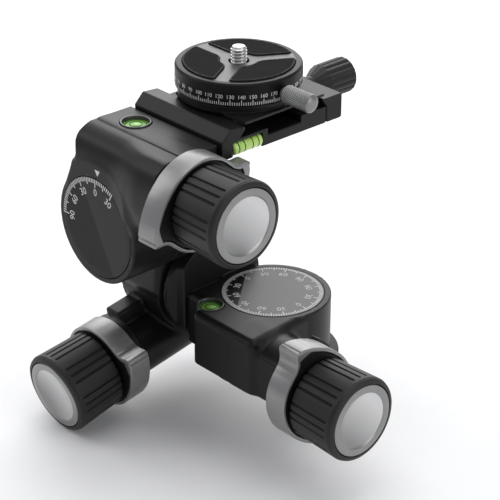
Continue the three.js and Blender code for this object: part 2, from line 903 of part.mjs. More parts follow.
function tiltHousing() {
  const end = tiltKnobReach - neckBack;
  const drum = edgedRod(
    tiltDrumRadius,
    tiltFaceY,
    tiltDrumBack,
    drumEdge,
    alongY(tiltAxisX, tiltAxisZ),
    fineSegments,
  );
  const tube = turned([
    [0, tiltLeftX - tiltAxisX],
    [wormHousingRadius - drumEdge, tiltLeftX - tiltAxisX],
    [wormHousingRadius, tiltLeftX - tiltAxisX + drumEdge],
    [wormHousingRadius, flareStart],
    [flareRadius, flareEnd],
    [flareRadius, end],
    [0, end],
  ], tiltDrive, fineSegments);
  const wormZ = tiltAxisZ + gearCentreDistance;
  const faceCut = block(
    [tiltLeftX - cutOverrun, tiltFaceY - drumRadius, 0],
    [tiltAxisX + flareStart, tiltFaceY, 2 * discTop],
  );
  const topCut = block(
    [tiltLeftX - cutOverrun, tiltFaceY - drumRadius, platformTop],
    [end + drumRadius, 0, 2 * discTop],
  );
  const web = prism(
    rounded([
      [tiltLeftX, tiltAxisZ, 0],
      [tiltWebRight, tiltAxisZ, 0],
      [tiltWebRight, wormZ, 0],
      [tiltLeftX, wormZ, 0],
    ]),
    -tiltDrumBack,
    -tiltFaceY,
    basis([0, 0, 0], [1, 0, 0], [0, 0, 1], [0, -1, 0]),
  );
  const platform = block(
    [tiltLeftX, tiltWormY, platformLow],
    [tiltAxisX + end, platformBack, platformTop],
  );
  const saddle = block(
    [saddleLeft, tiltWormY, saddleLow],
    [saddleRight, saddleBack, saddleTop],
  );
  const body = joinAll([drum, tube, web, platform, saddle]);
  const swept = rod(
    tiltFlangeRadius + flangeSweep,
    tiltDrumBack,
    tiltAxleFoot,
    alongY(tiltAxisX, tiltAxisZ),
    fineSegments,
  );
  const bolts = clampBoltXs.map((x) => rod(
    clampBoltRadius + boreGap,
    clampBoltFoot - seatGap,
    saddleTop + cutOverrun,
    upright(x, clampBoltY),
    smallSegments,
  ));
  return cutAll(body, [
    faceCut,
    topCut,
    swept,
    ...drumCutters(tiltDrum, tiltWormDepth, tiltDrumBack - tiltFaceY),
    ...driveCutters(tiltDrive, tiltKnobReach),
    levelCutter(tiltLevelX, tiltLevelY, platformTop, tiltLevelRadius),
    ...bolts,
  ]);
}

// Screw clamp: body with the fixed jaw, sliding jaw, guide rods, screw and knob.
const clampLeft = -47.4;
const clampPastLever = 1.9;
const clampRight = tiltAxisX + tiltKnobReach - leverBack + clampPastLever;
const clampFloor = 95.7;
const clampJawOuterY = -28.7;
const clampJawRidgeY = -24.6;
const clampJawTop = 107;
const clampJawLipY = -17.5;
const clampJawLipTop = 106.4;
const clampJawLipLow = 104.9;
const clampChannelY = -19.9;
const clampChannelFloor = 102.4;
const clampSlotLeft = -5.7;
const clampSlotRight = 11.3;
const clampSlotFloor = 99.9;
const clampBodyBack = 24.4;
const jawGap = 0.6;
const jawLipY = 22.8;
const jawTop = 105.9;
const jawBack = 32.9;
const jawEdge = 0.5;
const vialStart = -23.2;
const vialEnd = -8.9;
const vialRadius = 2.6;
const vialInset = 1.7;
const vialX = clampRight - vialInset;
const vialZ = 98.4;
const vialPocketTop = 101.4;
const guideRadius = 1.6;
const guideLeftX = -40;
const guideInset = 4.3;
const guideRightX = clampRight - guideInset;
const guideZ = 99;
const guideStart = 13;
const guideEnd = 31;
const guideXs = [guideLeftX, guideRightX];
const screwRadius = 2;
const screwX = -19.5;
const screwZ = 100.4;
const screwStart = 13.4;
const screwBoreStart = 12.2;
const clampKnobFoot = 33.2;
const clampKnobNeckRadius = 4;
const clampKnobCollarRadius = 4.6;
const clampKnobCollar = 2.2;
const clampKnobFlareStart = 38;
const clampKnobFlareEnd = 43.6;
const clampKnobRadius = 7.3;
const clampKnobEnd = 57.5;
const clampKnobEdge = 0.9;
const clampKnobFlutes = 8;
const clampKnobFluteDepth = 0.6;
const clampKnobBoreDepth = 18;

function sideways() {
  return basis([0, 0, 0], [0, 1, 0], [0, 0, 1], [1, 0, 0]);
}

function clampBody() {
  const profile = [
    [clampJawOuterY, clampFloor],
    [clampBodyBack, clampFloor],
    [clampBodyBack, clampChannelFloor],
    [clampSlotRight, clampChannelFloor],
    [clampSlotRight, clampSlotFloor],
    [clampSlotLeft, clampSlotFloor],
    [clampSlotLeft, clampChannelFloor],
    [clampChannelY, clampChannelFloor],
    [clampJawLipY, clampJawLipLow],
    [clampJawLipY, clampJawLipTop],
    [clampJawRidgeY, clampJawTop],
    [clampJawOuterY, clampChannelFloor],
  ];
  const body = prism(profile, clampLeft, clampRight, sideways());
  const pocket = block(
    [vialX - vialRadius - seatGap, vialStart - seatGap, clampFloor - cutOverrun],
    [clampRight + cutOverrun, vialEnd + seatGap, vialPocketTop],
  );
  const cutters = [pocket];
  for (const x of guideXs) {
    cutters.push(rod(
      guideRadius + boreGap,
      guideStart - seatGap,
      clampBodyBack + cutOverrun,
      alongY(x, guideZ),
      smallSegments,
    ));
  }
  cutters.push(rod(
    screwRadius + boreGap,
    screwBoreStart,
    clampBodyBack + cutOverrun,
    alongY(screwX, screwZ),
    smallSegments,
  ));
  for (const x of clampBoltXs) {
    const frame = upright(x, clampBoltY);
    cutters.push(rod(
      clampBoltRadius + boreGap,
      clampFloor - cutOverrun,
      clampSlotFloor + cutOverrun,
      frame,
      smallSegments,
    ));
    cutters.push(rod(
      clampBoltHeadRadius + boreGap,
      clampBoltSeat - seatGap,
      clampSlotFloor + cutOverrun,
      frame,
      smallSegments,
    ));
  }
  return cutAll(body, cutters);
}

function clampBolt(x) {
  const profile = [
    [0, clampBoltFoot],
    [clampBoltRadius, clampBoltFoot],
    [clampBoltRadius, clampBoltSeat],
    [clampBoltHeadRadius, clampBoltSeat],
    [clampBoltHeadRadius, clampBoltHeadTop],
    [0, clampBoltHeadTop],
  ];
  return turned(profile, upright(x, clampBoltY), smallSegments);
}

function clampJaw() {
  const foot = clampBodyBack + jawGap;
  const profile = rounded([
    [foot, clampFloor, 0],
    [jawBack, clampFloor, jawEdge],
    [jawBack, jawTop, jawEdge],
    [jawLipY, jawTop, 0],
    [jawLipY, clampJawLipLow, 0],
    [foot, clampChannelFloor, 0],
  ]);
  const body = prism(profile, clampLeft, clampRight, sideways());
  const cutters = guideXs.map((x) => rod(
    guideRadius + boreGap,
    foot - cutOverrun,
    guideEnd + seatGap,
    alongY(x, guideZ),
    smallSegments,
  ));
  cutters.push(rod(
    screwRadius + boreGap,
    foot - cutOverrun,
    jawBack + cutOverrun,
    alongY(screwX, screwZ),
    smallSegments,
  ));
  return cutAll(body, cutters);
}

function guideRod(x) {
  return rod(guideRadius, guideStart, guideEnd, alongY(x, guideZ), smallSegments);
}

function clampScrew() {
  const end = clampKnobFoot + clampKnobBoreDepth - seatGap;
  return rod(screwRadius, screwStart, end, alongY(screwX, screwZ), smallSegments);
}

function clampKnob() {
  const frame = alongY(screwX, screwZ);
  const bore = screwRadius + boreGap;
  const profile = [
    [0, clampKnobFoot + clampKnobBoreDepth],
    [bore, clampKnobFoot + clampKnobBoreDepth],
    [bore, clampKnobFoot],
    [clampKnobCollarRadius, clampKnobFoot],
    [clampKnobCollarRadius, clampKnobFoot + clampKnobCollar],
    [clampKnobNeckRadius, clampKnobFoot + clampKnobCollar],
    [clampKnobNeckRadius, clampKnobFlareStart],
    [clampKnobRadius, clampKnobFlareEnd],
    [clampKnobRadius, clampKnobEnd - clampKnobEdge],
    [clampKnobRadius - clampKnobEdge, clampKnobEnd],
    [0, clampKnobEnd],
  ];
  const body = turned(profile, frame, clampKnobFlutes * 4);
  const flutes = [];
  for (let i = 0; i < clampKnobFlutes; i += 1) {
    const angle = 2 * Math.PI * (i + 0.5) / clampKnobFlutes;
    const turn = new THREE.Matrix4().makeRotationZ(angle);
    flutes.push(prism(
      [
        [clampKnobRadius - clampKnobFluteDepth, 0],
        [clampKnobRadius + clampKnobFluteDepth, -clampKnobFluteDepth * 1.6],
        [clampKnobRadius + clampKnobFluteDepth, clampKnobFluteDepth * 1.6],
      ],
      clampKnobFlareEnd,
      clampKnobEnd + cutOverrun,
      frame.clone().multiply(turn),
    ));
  }
  return cutAll(body, flutes);
}

function clampVial() {
  return edgedRod(vialRadius, vialStart, vialEnd, jawEdge, alongY(vialX, vialZ), smallSegments);
}

// Turning top plate: dovetail base, graduated disc, pads, camera screw and lock screw.
const plateLeft = -36;
const plateRight = 3.1;
const plateFootInset = 7.5;
const dovetailGap = 0.45;
const plateTopOverhang = 0.6;
const plateNeckTop = 107.1;
const plateTop = 108.2;
const ringBaseRadius = 23.4;
const ringBaseTop = 110.9;
const spigotRadius = 6;
const spigotTop = 114.4;
const discRadius = 24.4;
const discFloor = 111.2;
const discEdge = 0.7;
const padOuterRadius = 20.8;
const padDepth = 1.4;
const padStand = 0.3;
const padWebHalfWidth = 2.9;
const padInnerReach = 7.6;
const padArcSteps = 8;
const padCount = 3;
const padFirstAngle = 120;
const screwWellRadius = 5.4;
const screwWellDepth = 1.2;
const cameraScrewRadius = 3.175;
const cameraScrewRoot = 2.6;
const cameraScrewPitch = 1.27;
const cameraScrewTurns = 4;
const cameraScrewTop = 126;
const cameraScrewHeadRadius = 4.8;
const cameraScrewHeadLow = 115;
const cameraScrewHeadTop = 117;
const lockScrewZ = 114.4;
const lockScrewEnd = 18.5;
const lockScrewRadius = 3.6;
const lockScrewStart = 3.2;
const lockShankRadius = 1.6;
const lockShankStart = -13.6;
const lockScrewEdge = 0.4;
const lockScrewNeckRadius = 2.4;
const lockScrewNeckEnd = 4.6;

function plateBase() {
  const frame = sideways();
  const foot = clampChannelFloor + seatGap;
  const neckLeft = clampJawLipY + dovetailGap;
  const neckRight = jawLipY - dovetailGap;
  const dovetail = [
    [clampChannelY + seatGap + dovetailGap, foot],
    [clampBodyBack + jawGap - seatGap - dovetailGap, foot],
    [neckRight, clampJawLipLow],
    [neckRight, plateTop],
    [neckLeft, plateTop],
    [neckLeft, clampJawLipLow],
  ];
  const flange = [
    [neckLeft - plateTopOverhang, plateNeckTop],
    [neckRight + plateTopOverhang, plateNeckTop],
    [neckRight + plateTopOverhang, plateTop],
    [neckLeft - plateTopOverhang, plateTop],
  ];
  const foundation = prism(dovetail, plateLeft, plateRight - plateFootInset, frame);
  const cover = prism(flange, plateLeft, plateRight, frame);
  const ring = turned([
    [0, plateNeckTop],
    [ringBaseRadius, plateNeckTop + drumEdge],
    [ringBaseRadius, ringBaseTop],
    [spigotRadius, ringBaseTop],
    [spigotRadius, spigotTop],
    [0, spigotTop],
  ], upright(discCentreX, discCentreY), fineSegments);
  return joinAll([foundation, cover, ring]);
}

function padTurns() {
  return Array.from({ length: padCount }, (_, i) => padFirstAngle + 360 * i / padCount);
}

// One pad's outline: an arc outside, two straight sides beside the web and a cut inner corner.
function padOutline(middle, growth) {
  const half = 180 / padCount;
  const outer = padOuterRadius + growth;
  const web = padWebHalfWidth - growth;
  const reach = half - Math.asin(web / outer) * 180 / Math.PI;
  const corners = [];
  for (let i = 0; i <= padArcSteps; i += 1) {
    const angle = radians(-reach + 2 * reach * i / padArcSteps);
    corners.push([outer * Math.cos(angle), outer * Math.sin(angle)]);
  }
  const innerAlong = padInnerReach - growth;
  const innerAcross = innerAlong * Math.tan(radians(half)) - web / Math.cos(radians(half));
  corners.push([innerAlong, innerAcross]);
  corners.push([innerAlong, -innerAcross]);
  return corners.map(([x, y]) => {
    const swing = radians(middle);
    return [
      x * Math.cos(swing) - y * Math.sin(swing),
      x * Math.sin(swing) + y * Math.cos(swing),
    ];
  });
}

function topDisc() {
  const frame = upright(discCentreX, discCentreY);
  const disc = edgedRod(discRadius, discFloor, discTop, discEdge, frame, fineSegments);
  const cutters = padTurns().map((angle) => prism(
    padOutline(angle, seatGap),
    discTop - padDepth,
    discTop + cutOverrun,
    frame,
  ));
  cutters.push(rod(screwWellRadius, discTop - screwWellDepth, discTop + cutOverrun, frame, roundSegments));
  cutters.push(rod(spigotRadius + boreGap, discFloor - cutOverrun, spigotTop + seatGap, frame, roundSegments));
  cutters.push(rod(cameraScrewHeadRadius + boreGap, spigotTop, cameraScrewHeadTop, frame, roundSegments));
  cutters.push(rod(cameraScrewRadius + boreGap, spigotTop, discTop + cutOverrun, frame, smallSegments));
  cutters.push(rod(
    lockShankRadius + boreGap,
    lockShankStart - seatGap,
    discCentreX + discRadius + cutOverrun,
    alongX(discCentreY, lockScrewZ),
    smallSegments,
  ));
  return cutAll(disc, cutters);
}

function pad(angle) {
  const frame = upright(discCentreX, discCentreY);
  return prism(
    padOutline(angle, 0),
    discTop - padDepth + seatGap,
    discTop + padStand,
    frame,
  );
}

function cameraScrew() {
  const profile = [
    [0, cameraScrewHeadLow],
    [cameraScrewHeadRadius, cameraScrewHeadLow],
    [cameraScrewHeadRadius, cameraScrewHeadTop - seatGap],
    [cameraScrewRoot, cameraScrewHeadTop - seatGap],
  ];
  for (let i = 0; i < cameraScrewTurns; i += 1) {
    const low = cameraScrewTop - (cameraScrewTurns - i + 0.35) * cameraScrewPitch;
    profile.push([cameraScrewRoot, low]);
    profile.push([cameraScrewRadius, low + cameraScrewPitch * 0.4]);
    profile.push([cameraScrewRadius, low + cameraScrewPitch * 0.6]);
    profile.push([cameraScrewRoot, low + cameraScrewPitch]);
  }
  profile.push([cameraScrewRoot, cameraScrewTop]);
  profile.push([0, cameraScrewTop]);
  return turned(profile, upright(discCentreX, discCentreY), smallSegments);
}

function lockScrew() {
  const profile = [
    [0, lockShankStart],
    [lockShankRadius, lockShankStart],
    [lockShankRadius, lockScrewStart],
    [lockScrewNeckRadius, lockScrewStart],
    [lockScrewNeckRadius, lockScrewNeckEnd],
    [lockScrewRadius - lockScrewEdge, lockScrewNeckEnd],
    [lockScrewRadius, lockScrewNeckEnd + lockScrewEdge],
    [lockScrewRadius, lockScrewEnd - lockScrewEdge],
    [lockScrewRadius - lockScrewEdge, lockScrewEnd],
    [0, lockScrewEnd],
  ];
  return turned(profile, alongX(discCentreY, lockScrewZ), smallSegments);
}

// Assembly.
const group = new THREE.Group();
group.name = 'geared_tripod_head';

function put(name, body, look) {
  const mesh = new THREE.Mesh(toGeometry(body), look);
  mesh.name = name;
  group.add(mesh);
}

function putDrive(prefix, frame, reach, tip, grip, relief) {
  const hub = leverHub(frame, reach, tip);
  const band = lever(frame, reach, tip);
  put(`${prefix}_worm`, wormShaft(frame, reach), material.steel);
  put(`${prefix}_sleeve`, sleeve(frame, reach), material.bronze);
  put(`${prefix}_lever_hub`, relief ? hub.subtract(relief) : hub, material.blackMetal);
  put(`${prefix}_lever`, relief ? band.subtract(relief) : band, material.leverGrey);
  put(`${prefix}_knob`, knob(frame, reach, grip), material.blackKnob);
  put(`${prefix}_knob_cap`, knobCap(frame, reach), material.capGrey);
}

const panLeverTip = 117;
const rollLeverTip = 29.5;
const tiltLeverTip = 204;
const panGripTurn = 40;
const rollGripTurn = 5;
const tiltGripTurn = 37;
const panAxleFoot = 8.7;
const rollAxleFoot = -24.8;

put('base_plate', basePlate(), material.blackMetal);
put('socket_bush', socketBush(), material.steel);
put('pan_wheel', wormWheel(panDrum, panWormDepth), material.bronze);
put('pan_axle', axle(panDrum, panTop - panAxleFoot), material.steel);
put('pan_dial', dialPlate(panDrum), material.dialGrey);

put('pan_housing', panHousing(), material.blackMetal);
put('pan_level_ring', levelRing(panLevelX, panLevelY, panTop, levelRingRadius), material.blackMetal);
put('pan_level_vial', levelVial(panLevelX, panLevelY, panTop, levelRingRadius), material.fluid);
put('roll_wheel', wormWheel(rollDrum, rollWormDepth), material.bronze);
put('roll_axle', axle(rollDrum, rollAxleFoot - rollFaceX), material.steel);
put('roll_dial', dialPlate(rollDrum), material.blackMetal);
putDrive('pan', panDrive, panKnobReach, panLeverTip, panGripTurn);

put('roll_housing', rollHousing(), material.blackMetal);
put('tilt_wheel', wormWheel(tiltDrum, tiltWormDepth), material.bronze);
put('tilt_axle', axle(tiltDrum, tiltAxleFoot - tiltFaceY), material.steel);
put('tilt_dial', dialPlate(tiltDrum), material.blackMetal);
putDrive('roll', rollDrive, rollKnobReach, rollLeverTip, rollGripTurn);

put('tilt_housing', tiltHousing(), material.blackMetal);
put('tilt_level_ring', levelRing(tiltLevelX, tiltLevelY, platformTop, tiltLevelRadius), material.blackMetal);
put('tilt_level_vial', levelVial(tiltLevelX, tiltLevelY, platformTop, tiltLevelRadius), material.fluid);
putDrive('tilt', tiltDrive, tiltKnobReach, tiltLeverTip, tiltGripTurn, clampRelief());

put('clamp_body', clampBody(), material.blackMetal);
clampBoltXs.forEach((x, i) => put(`clamp_bolt_${i + 1}`, clampBolt(x), material.steel));
put('clamp_vial', clampVial(), material.fluid);
put('clamp_jaw', clampJaw(), material.blackMetal);
guideXs.forEach((x, i) => put(`guide_rod_${i + 1}`, guideRod(x), material.steel));
put('clamp_screw', clampScrew(), material.steel);
put('clamp_knob', clampKnob(), material.blackKnob);

put('plate_base', plateBase(), material.blackMetal);
put('top_disc', topDisc(), material.blackMetal);
padTurns().forEach((angle, i) => put(`pad_${i + 1}`, pad(angle), material.rubber));
put('camera_screw', cameraScrew(), material.silver);
put('lock_screw', lockScrew(), material.silver);

export default group;
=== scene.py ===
# Three-axis geared camera tripod head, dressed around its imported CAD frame.
import math
from functools import reduce

import bpy
import numpy as np
from mathutils import Matrix, Vector


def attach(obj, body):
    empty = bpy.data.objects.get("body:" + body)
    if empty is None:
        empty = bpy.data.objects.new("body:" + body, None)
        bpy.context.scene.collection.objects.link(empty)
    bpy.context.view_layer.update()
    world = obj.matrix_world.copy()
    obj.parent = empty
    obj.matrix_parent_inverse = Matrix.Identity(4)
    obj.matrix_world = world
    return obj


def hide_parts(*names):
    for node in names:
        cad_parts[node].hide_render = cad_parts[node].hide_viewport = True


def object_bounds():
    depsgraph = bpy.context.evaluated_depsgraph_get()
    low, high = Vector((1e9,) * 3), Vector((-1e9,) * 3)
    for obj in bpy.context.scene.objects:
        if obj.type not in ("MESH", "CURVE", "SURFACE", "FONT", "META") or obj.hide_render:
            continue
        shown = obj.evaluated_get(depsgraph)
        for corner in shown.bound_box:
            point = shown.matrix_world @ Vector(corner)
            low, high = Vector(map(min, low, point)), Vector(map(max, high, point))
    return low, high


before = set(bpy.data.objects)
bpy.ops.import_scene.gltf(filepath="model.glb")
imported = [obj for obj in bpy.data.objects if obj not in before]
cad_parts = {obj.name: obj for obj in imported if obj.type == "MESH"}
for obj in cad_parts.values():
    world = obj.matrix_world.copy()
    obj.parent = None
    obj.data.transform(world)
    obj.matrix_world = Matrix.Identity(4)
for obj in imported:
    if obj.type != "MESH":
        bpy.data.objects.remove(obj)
cad_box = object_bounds()

MM = 0.001
FULL = 2 * math.pi

# Sizes in millimetres, as in the part's source. Z is the pan axis, X roll and Y tilt.
PAN_TOP, PAN_FLOOR, PAN_WORM_Z = 30.0, 6.8, 12.8
DRUM_R, DRUM_EDGE = 23.0, 0.6
ROLL_Y, ROLL_Z = -8.2, 26.5
TILT_X, TILT_Z = -35.8, 64.2
GEAR = 21.8
PAN_REACH, ROLL_REACH, TILT_REACH = 71.1, 71.5, 69.3
ROLL_FACE_X, TILT_FACE_Y = -56.2, -58.1
ROLL_WORM_X, TILT_WORM_Y = -45.3, -44.8
DISC_X, DISC_Y, DISC_TOP, DISC_R = -21.9, 1.9, 120.0, 24.4
# How far short of a knob's end its neck stops, and where the stop behind its lever begins.
NECK_SHORT, STOP_SHORT = 32.9, 36.3
FLANGE_R, FLANGE_BORE = 22.3, 5.2
ROLL_BACK_X, ARM_NEAR_Y, ARM_FAR_Y = -33, -31.2, -10
TILT_BACK_Y, TILT_LEFT_X, TILT_BORE_Y = -34.9, -49.3, -17.7
ROLL_TUBE_R, TILT_TUBE_R, TILT_FLARE, TILT_SWELL = 12.4, 16, 2.0, 3.0
BOLT_XS, BOLT_Y, BOLT_R = (-38, -20), 2.8, 2.2
DROP = math.radians(10)
DROP_C, DROP_S = math.cos(DROP), math.sin(DROP)
PLATFORM_TOP = 101.8
PAN_LEVEL = (-8.4, -25.2, PAN_TOP)
TILT_LEVEL = (-35.8, -37.7, PLATFORM_TOP)


def seat(origin, right, up, out):
    """A frame at origin, in metres, whose columns are right, up and out."""
    made = Matrix.Identity(4)
    for column, axis in enumerate((right, up, out)):
        for row in range(3):
            made[row][column] = axis[row]
    for row in range(3):
        made[row][3] = origin[row] * MM
    return made


X_AXIS, Y_AXIS, Z_AXIS = (1, 0, 0), (0, 1, 0), (0, 0, 1)
ROLL_WORM = (ROLL_WORM_X, ROLL_Y + GEAR * DROP_S, ROLL_Z - GEAR * DROP_C)
ROLL_OUT = (0, -DROP_C, -DROP_S)
WORLD = Matrix.Identity(4)
PAN_DRUM = seat((0, 0, PAN_TOP), X_AXIS, Y_AXIS, Z_AXIS)
ROLL_DRUM = seat((ROLL_FACE_X, ROLL_Y, ROLL_Z), Y_AXIS, (0, 0, -1), (-1, 0, 0))
TILT_DRUM = seat((TILT_X, TILT_FACE_Y, TILT_Z), X_AXIS, Z_AXIS, (0, -1, 0))
PAN_DRIVE = seat((0, -GEAR, PAN_WORM_Z), Y_AXIS, Z_AXIS, X_AXIS)
ROLL_DRIVE = seat(ROLL_WORM, X_AXIS, (0, -DROP_S, DROP_C), ROLL_OUT)
TILT_DRIVE = seat((TILT_X, TILT_WORM_Y, TILT_Z + GEAR), Y_AXIS, Z_AXIS, X_AXIS)
DISC_SEAT = seat((DISC_X, DISC_Y, 0), X_AXIS, Y_AXIS, Z_AXIS)


# ---- Materials ----

def turn(degrees):
    """The cosine and sine of an angle in degrees."""
    return math.cos(math.radians(degrees)), math.sin(math.radians(degrees))


def round_angles(count):
    return FULL * np.arange(count) / count


FLOAT, COLOUR, VECTOR = "NodeSocketFloat", "NodeSocketColor", "NodeSocketVector"


def group(name, inputs, outputs):
    """An empty shader node group, what it takes in and where its results go.

    An input is a socket kind, or a number for a float socket with that value."""
    tree = bpy.data.node_groups.new(name, "ShaderNodeTree")
    for label, value in inputs.items():
        kind = value if isinstance(value, str) else FLOAT
        socket = tree.interface.new_socket(label, in_out="INPUT", socket_type=kind)
        if kind is not value:
            socket.default_value = value
    for label, kind in outputs.items():
        tree.interface.new_socket(label, in_out="OUTPUT", socket_type=kind)
    return tree, tree.nodes.new("NodeGroupInput").outputs, tree.nodes.new("NodeGroupOutput").inputs


def node(tree, kind, feeds=None, **settings):
    """One node with its settings. A socket in feeds is linked, and anything else is set."""
    made = tree.nodes.new("ShaderNode" + kind)
    for key, value in settings.items():
        setattr(made, key, value)
    for key, value in (feeds or {}).items():
        if isinstance(value, bpy.types.NodeSocket):
            tree.links.new(value, made.inputs[key])
        else:
            made.inputs[key].default_value = value
    return made


def maths(tree, operation, *values):
    return node(tree, "Math", dict(enumerate(values)), operation=operation).outputs[0]


def noise(tree, where, scale, detail, roughness=0.5):
    return node(tree, "TexNoise", {"Vector": where, "Scale": scale, "Detail": detail,
                                   "Roughness": roughness}).outputs["Fac"]


def ranged(tree, value, low, high, top=1.0):
    """A value between low and high, brought to between 0 and top."""
    return node(tree, "MapRange", {"Value": value, "From Min": low, "From Max": high,
                                   "To Max": top}).outputs["Result"]


def blend(tree, amount, first, second):
    made = node(tree, "Mix", {"Factor": amount, 6: first, 7: second}, data_type="RGBA")
    return made.outputs[2]


def uneven(tree, take, pattern):
    """The roughness that a group takes in, varied by its pattern."""
    spread = maths(tree, "SUBTRACT", pattern, 0.5)
    return maths(tree, "MULTIPLY_ADD", spread, take["Roughness spread"], take["Roughness"])


def around_axis(tree, where):
    """A place seen along the piece's own out axis: flat, its radius and its height."""
    split = node(tree, "SeparateXYZ", {0: where}).outputs
    flat = node(tree, "CombineXYZ", {0: split[0], 1: split[1]}).outputs[0]
    radius = node(tree, "VectorMath", {0: flat}, operation="LENGTH").outputs["Value"]
    return flat, radius, split[2]


def give(tree, end, **results):
    for label, source in results.items():
        tree.links.new(source, end[label])
    return tree


SURFACE = {"Colour": COLOUR, "Roughness": FLOAT, "Height": FLOAT}


def grain_group():
    """Fine coat grain, slow blotches and handling dust, for painted and moulded surfaces."""
    tree, take, end = group(
        "Coat_grain", {"Colour": COLOUR, "Dust colour": COLOUR, "Grain scale": 2600.0,
                       "Blotch scale": 60.0, "Roughness": 0.4, "Roughness spread": 0.1,
                       "Dust": 0.15}, SURFACE)
    where = node(tree, "TexCoord").outputs["Object"]
    fine = noise(tree, where, take["Grain scale"], 3.0)
    slow = noise(tree, where, take["Blotch scale"], 5.0, 0.6)
    dusty = maths(tree, "MULTIPLY", ranged(tree, slow, 0.45, 0.75), take["Dust"])
    speck = maths(tree, "MULTIPLY_ADD", fine, 0.06, dusty)
    return give(tree, end, Colour=blend(tree, speck, take["Colour"], take["Dust colour"]),
                Roughness=uneven(tree, take, slow), Height=fine)


def turning_group():
    """Concentric tool marks about the piece's own out axis, for turned and spun metal."""
    tree, take, end = group(
        "Turning_marks", {"Colour": COLOUR, "Bright colour": COLOUR, "Pitch scale": 3000.0,
                          "Strength": 0.5, "Roughness": 0.3, "Roughness spread": 0.1}, SURFACE)
    where = node(tree, "TexCoord").outputs["Object"]
    _, radius, height = around_axis(tree, where)
    rings = node(tree, "CombineXYZ", {0: radius, 1: height}).outputs[0]
    marks = noise(tree, rings, take["Pitch scale"], 2.0)
    mixed = maths(tree, "MULTIPLY_ADD", marks, 0.5, noise(tree, where, 90.0, 3.0))
    level = ranged(tree, mixed, 0.45, 1.05, take["Strength"])
    return give(tree, end, Colour=blend(tree, level, take["Colour"], take["Bright colour"]),
                Roughness=uneven(tree, take, marks), Height=marks)


def worn_edge_group():
    """Painted edge highlight: a lighter colour laid along convex edges, broken up in patches."""
    tree, take, end = group("Painted_edge_highlights", {"Base": COLOUR, "Highlight": COLOUR, "Amount": 0.5},
                            {"Colour": COLOUR, "Mask": FLOAT})
    edge = ranged(tree, node(tree, "NewGeometry").outputs["Pointiness"], 0.55, 0.64)
    where = node(tree, "TexCoord").outputs["Object"]
    broken = ranged(tree, noise(tree, where, 420.0, 4.0), 0.35, 0.6)
    mask = maths(tree, "MULTIPLY", maths(tree, "MULTIPLY", edge, broken), take["Amount"])
    return give(tree, end, Colour=blend(tree, mask, take["Base"], take["Highlight"]), Mask=mask)


def zone_group():
    """Painted reflection: a lighter or darker tone on one side of a straight line across a dial or
    cap face, inside a radius.
    """
    tree, take, end = group(
        "Painted_reflection_zone", {"Base": COLOUR, "Reflection tone": COLOUR, "Side": VECTOR, "Offset": 0.0,
                      "Softness": 0.001, "Radius": 0.02}, {"Colour": COLOUR})
    flat, radius, _ = around_axis(tree, node(tree, "TexCoord").outputs["Object"])
    along = node(tree, "VectorMath", {0: flat, 1: take["Side"]}, operation="DOT_PRODUCT")
    past = maths(tree, "SUBTRACT", along.outputs["Value"], take["Offset"])
    within = maths(tree, "LESS_THAN", radius, take["Radius"])
    mask = maths(tree, "MULTIPLY", ranged(tree, past, 0.0, take["Softness"]), within)
    return give(tree, end, Colour=blend(tree, mask, take["Base"], take["Reflection tone"]))


GRAIN, TURNING, EDGE_HIGHLIGHT, PAINTED_REFLECTION = grain_group(), turning_group(), worn_edge_group(), zone_group()


def rgba(grey_or_colour):
    if isinstance(grey_or_colour, (int, float)):
        return (grey_or_colour,) * 3 + (1.0,)
    return tuple(grey_or_colour) + (1.0,)


def finish_material(name, tree_group, values, bump, metallic=0.0, worn=None, zone=None,
                    **constants):
    """A Principled material fed by one of the groups. The painted edge highlight is given as
    (colour, amount) and the painted reflection as (tone, direction in degrees, then offset,
    softness and radius in millimetres)."""
    material = bpy.data.materials.new(name)
    material.use_nodes = True
    tree = material.node_tree
    shader = tree.nodes["Principled BSDF"]
    shader.inputs["Metallic"].default_value = metallic
    for key, value in constants.items():
        shader.inputs[key.replace("_", " ")].default_value = value
    effect = node(tree, "Group", values, node_tree=tree_group).outputs
    colour = effect["Colour"]
    if worn:
        colour = node(tree, "Group", {"Base": colour, "Highlight": rgba(worn[0]), "Amount": worn[1]},
                      node_tree=EDGE_HIGHLIGHT).outputs["Colour"]
    if zone:
        reflection_tone, angle, offset, softness, radius = zone
        colour = node(tree, "Group", {"Base": colour, "Reflection tone": rgba(reflection_tone), "Side": (*turn(angle), 0),
                                      "Offset": offset * MM, "Softness": softness * MM,
                                      "Radius": radius * MM}, node_tree=PAINTED_REFLECTION).outputs["Colour"]
    relief = node(tree, "Bump", {"Strength": bump[0], "Distance": bump[1],
                                 "Height": effect["Height"]})
    give(tree, shader.inputs, **{"Base Color": colour, "Roughness": effect["Roughness"],
                                 "Normal": relief.outputs["Normal"]})
    return material


def coat(name, colour, dust, roughness, grain=2600.0, bump=(0.35, 0.00002), spread=0.1,
         amount=0.12, **more):
    values = {"Colour": rgba(colour), "Dust colour": rgba(dust), "Grain scale": grain,
              "Roughness": roughness, "Roughness spread": spread, "Dust": amount}
    return finish_material(name, GRAIN, values, bump, **more)


def turned_metal(name, colour, bright, roughness, pitch=3000.0, strength=0.6,
                 bump=(0.2, 0.00001), spread=0.1, **more):
    values = {"Colour": rgba(colour), "Bright colour": rgba(bright), "Pitch scale": pitch,
              "Strength": strength, "Roughness": roughness, "Roughness spread": spread}
    return finish_material(name, TURNING, values, bump, **more)


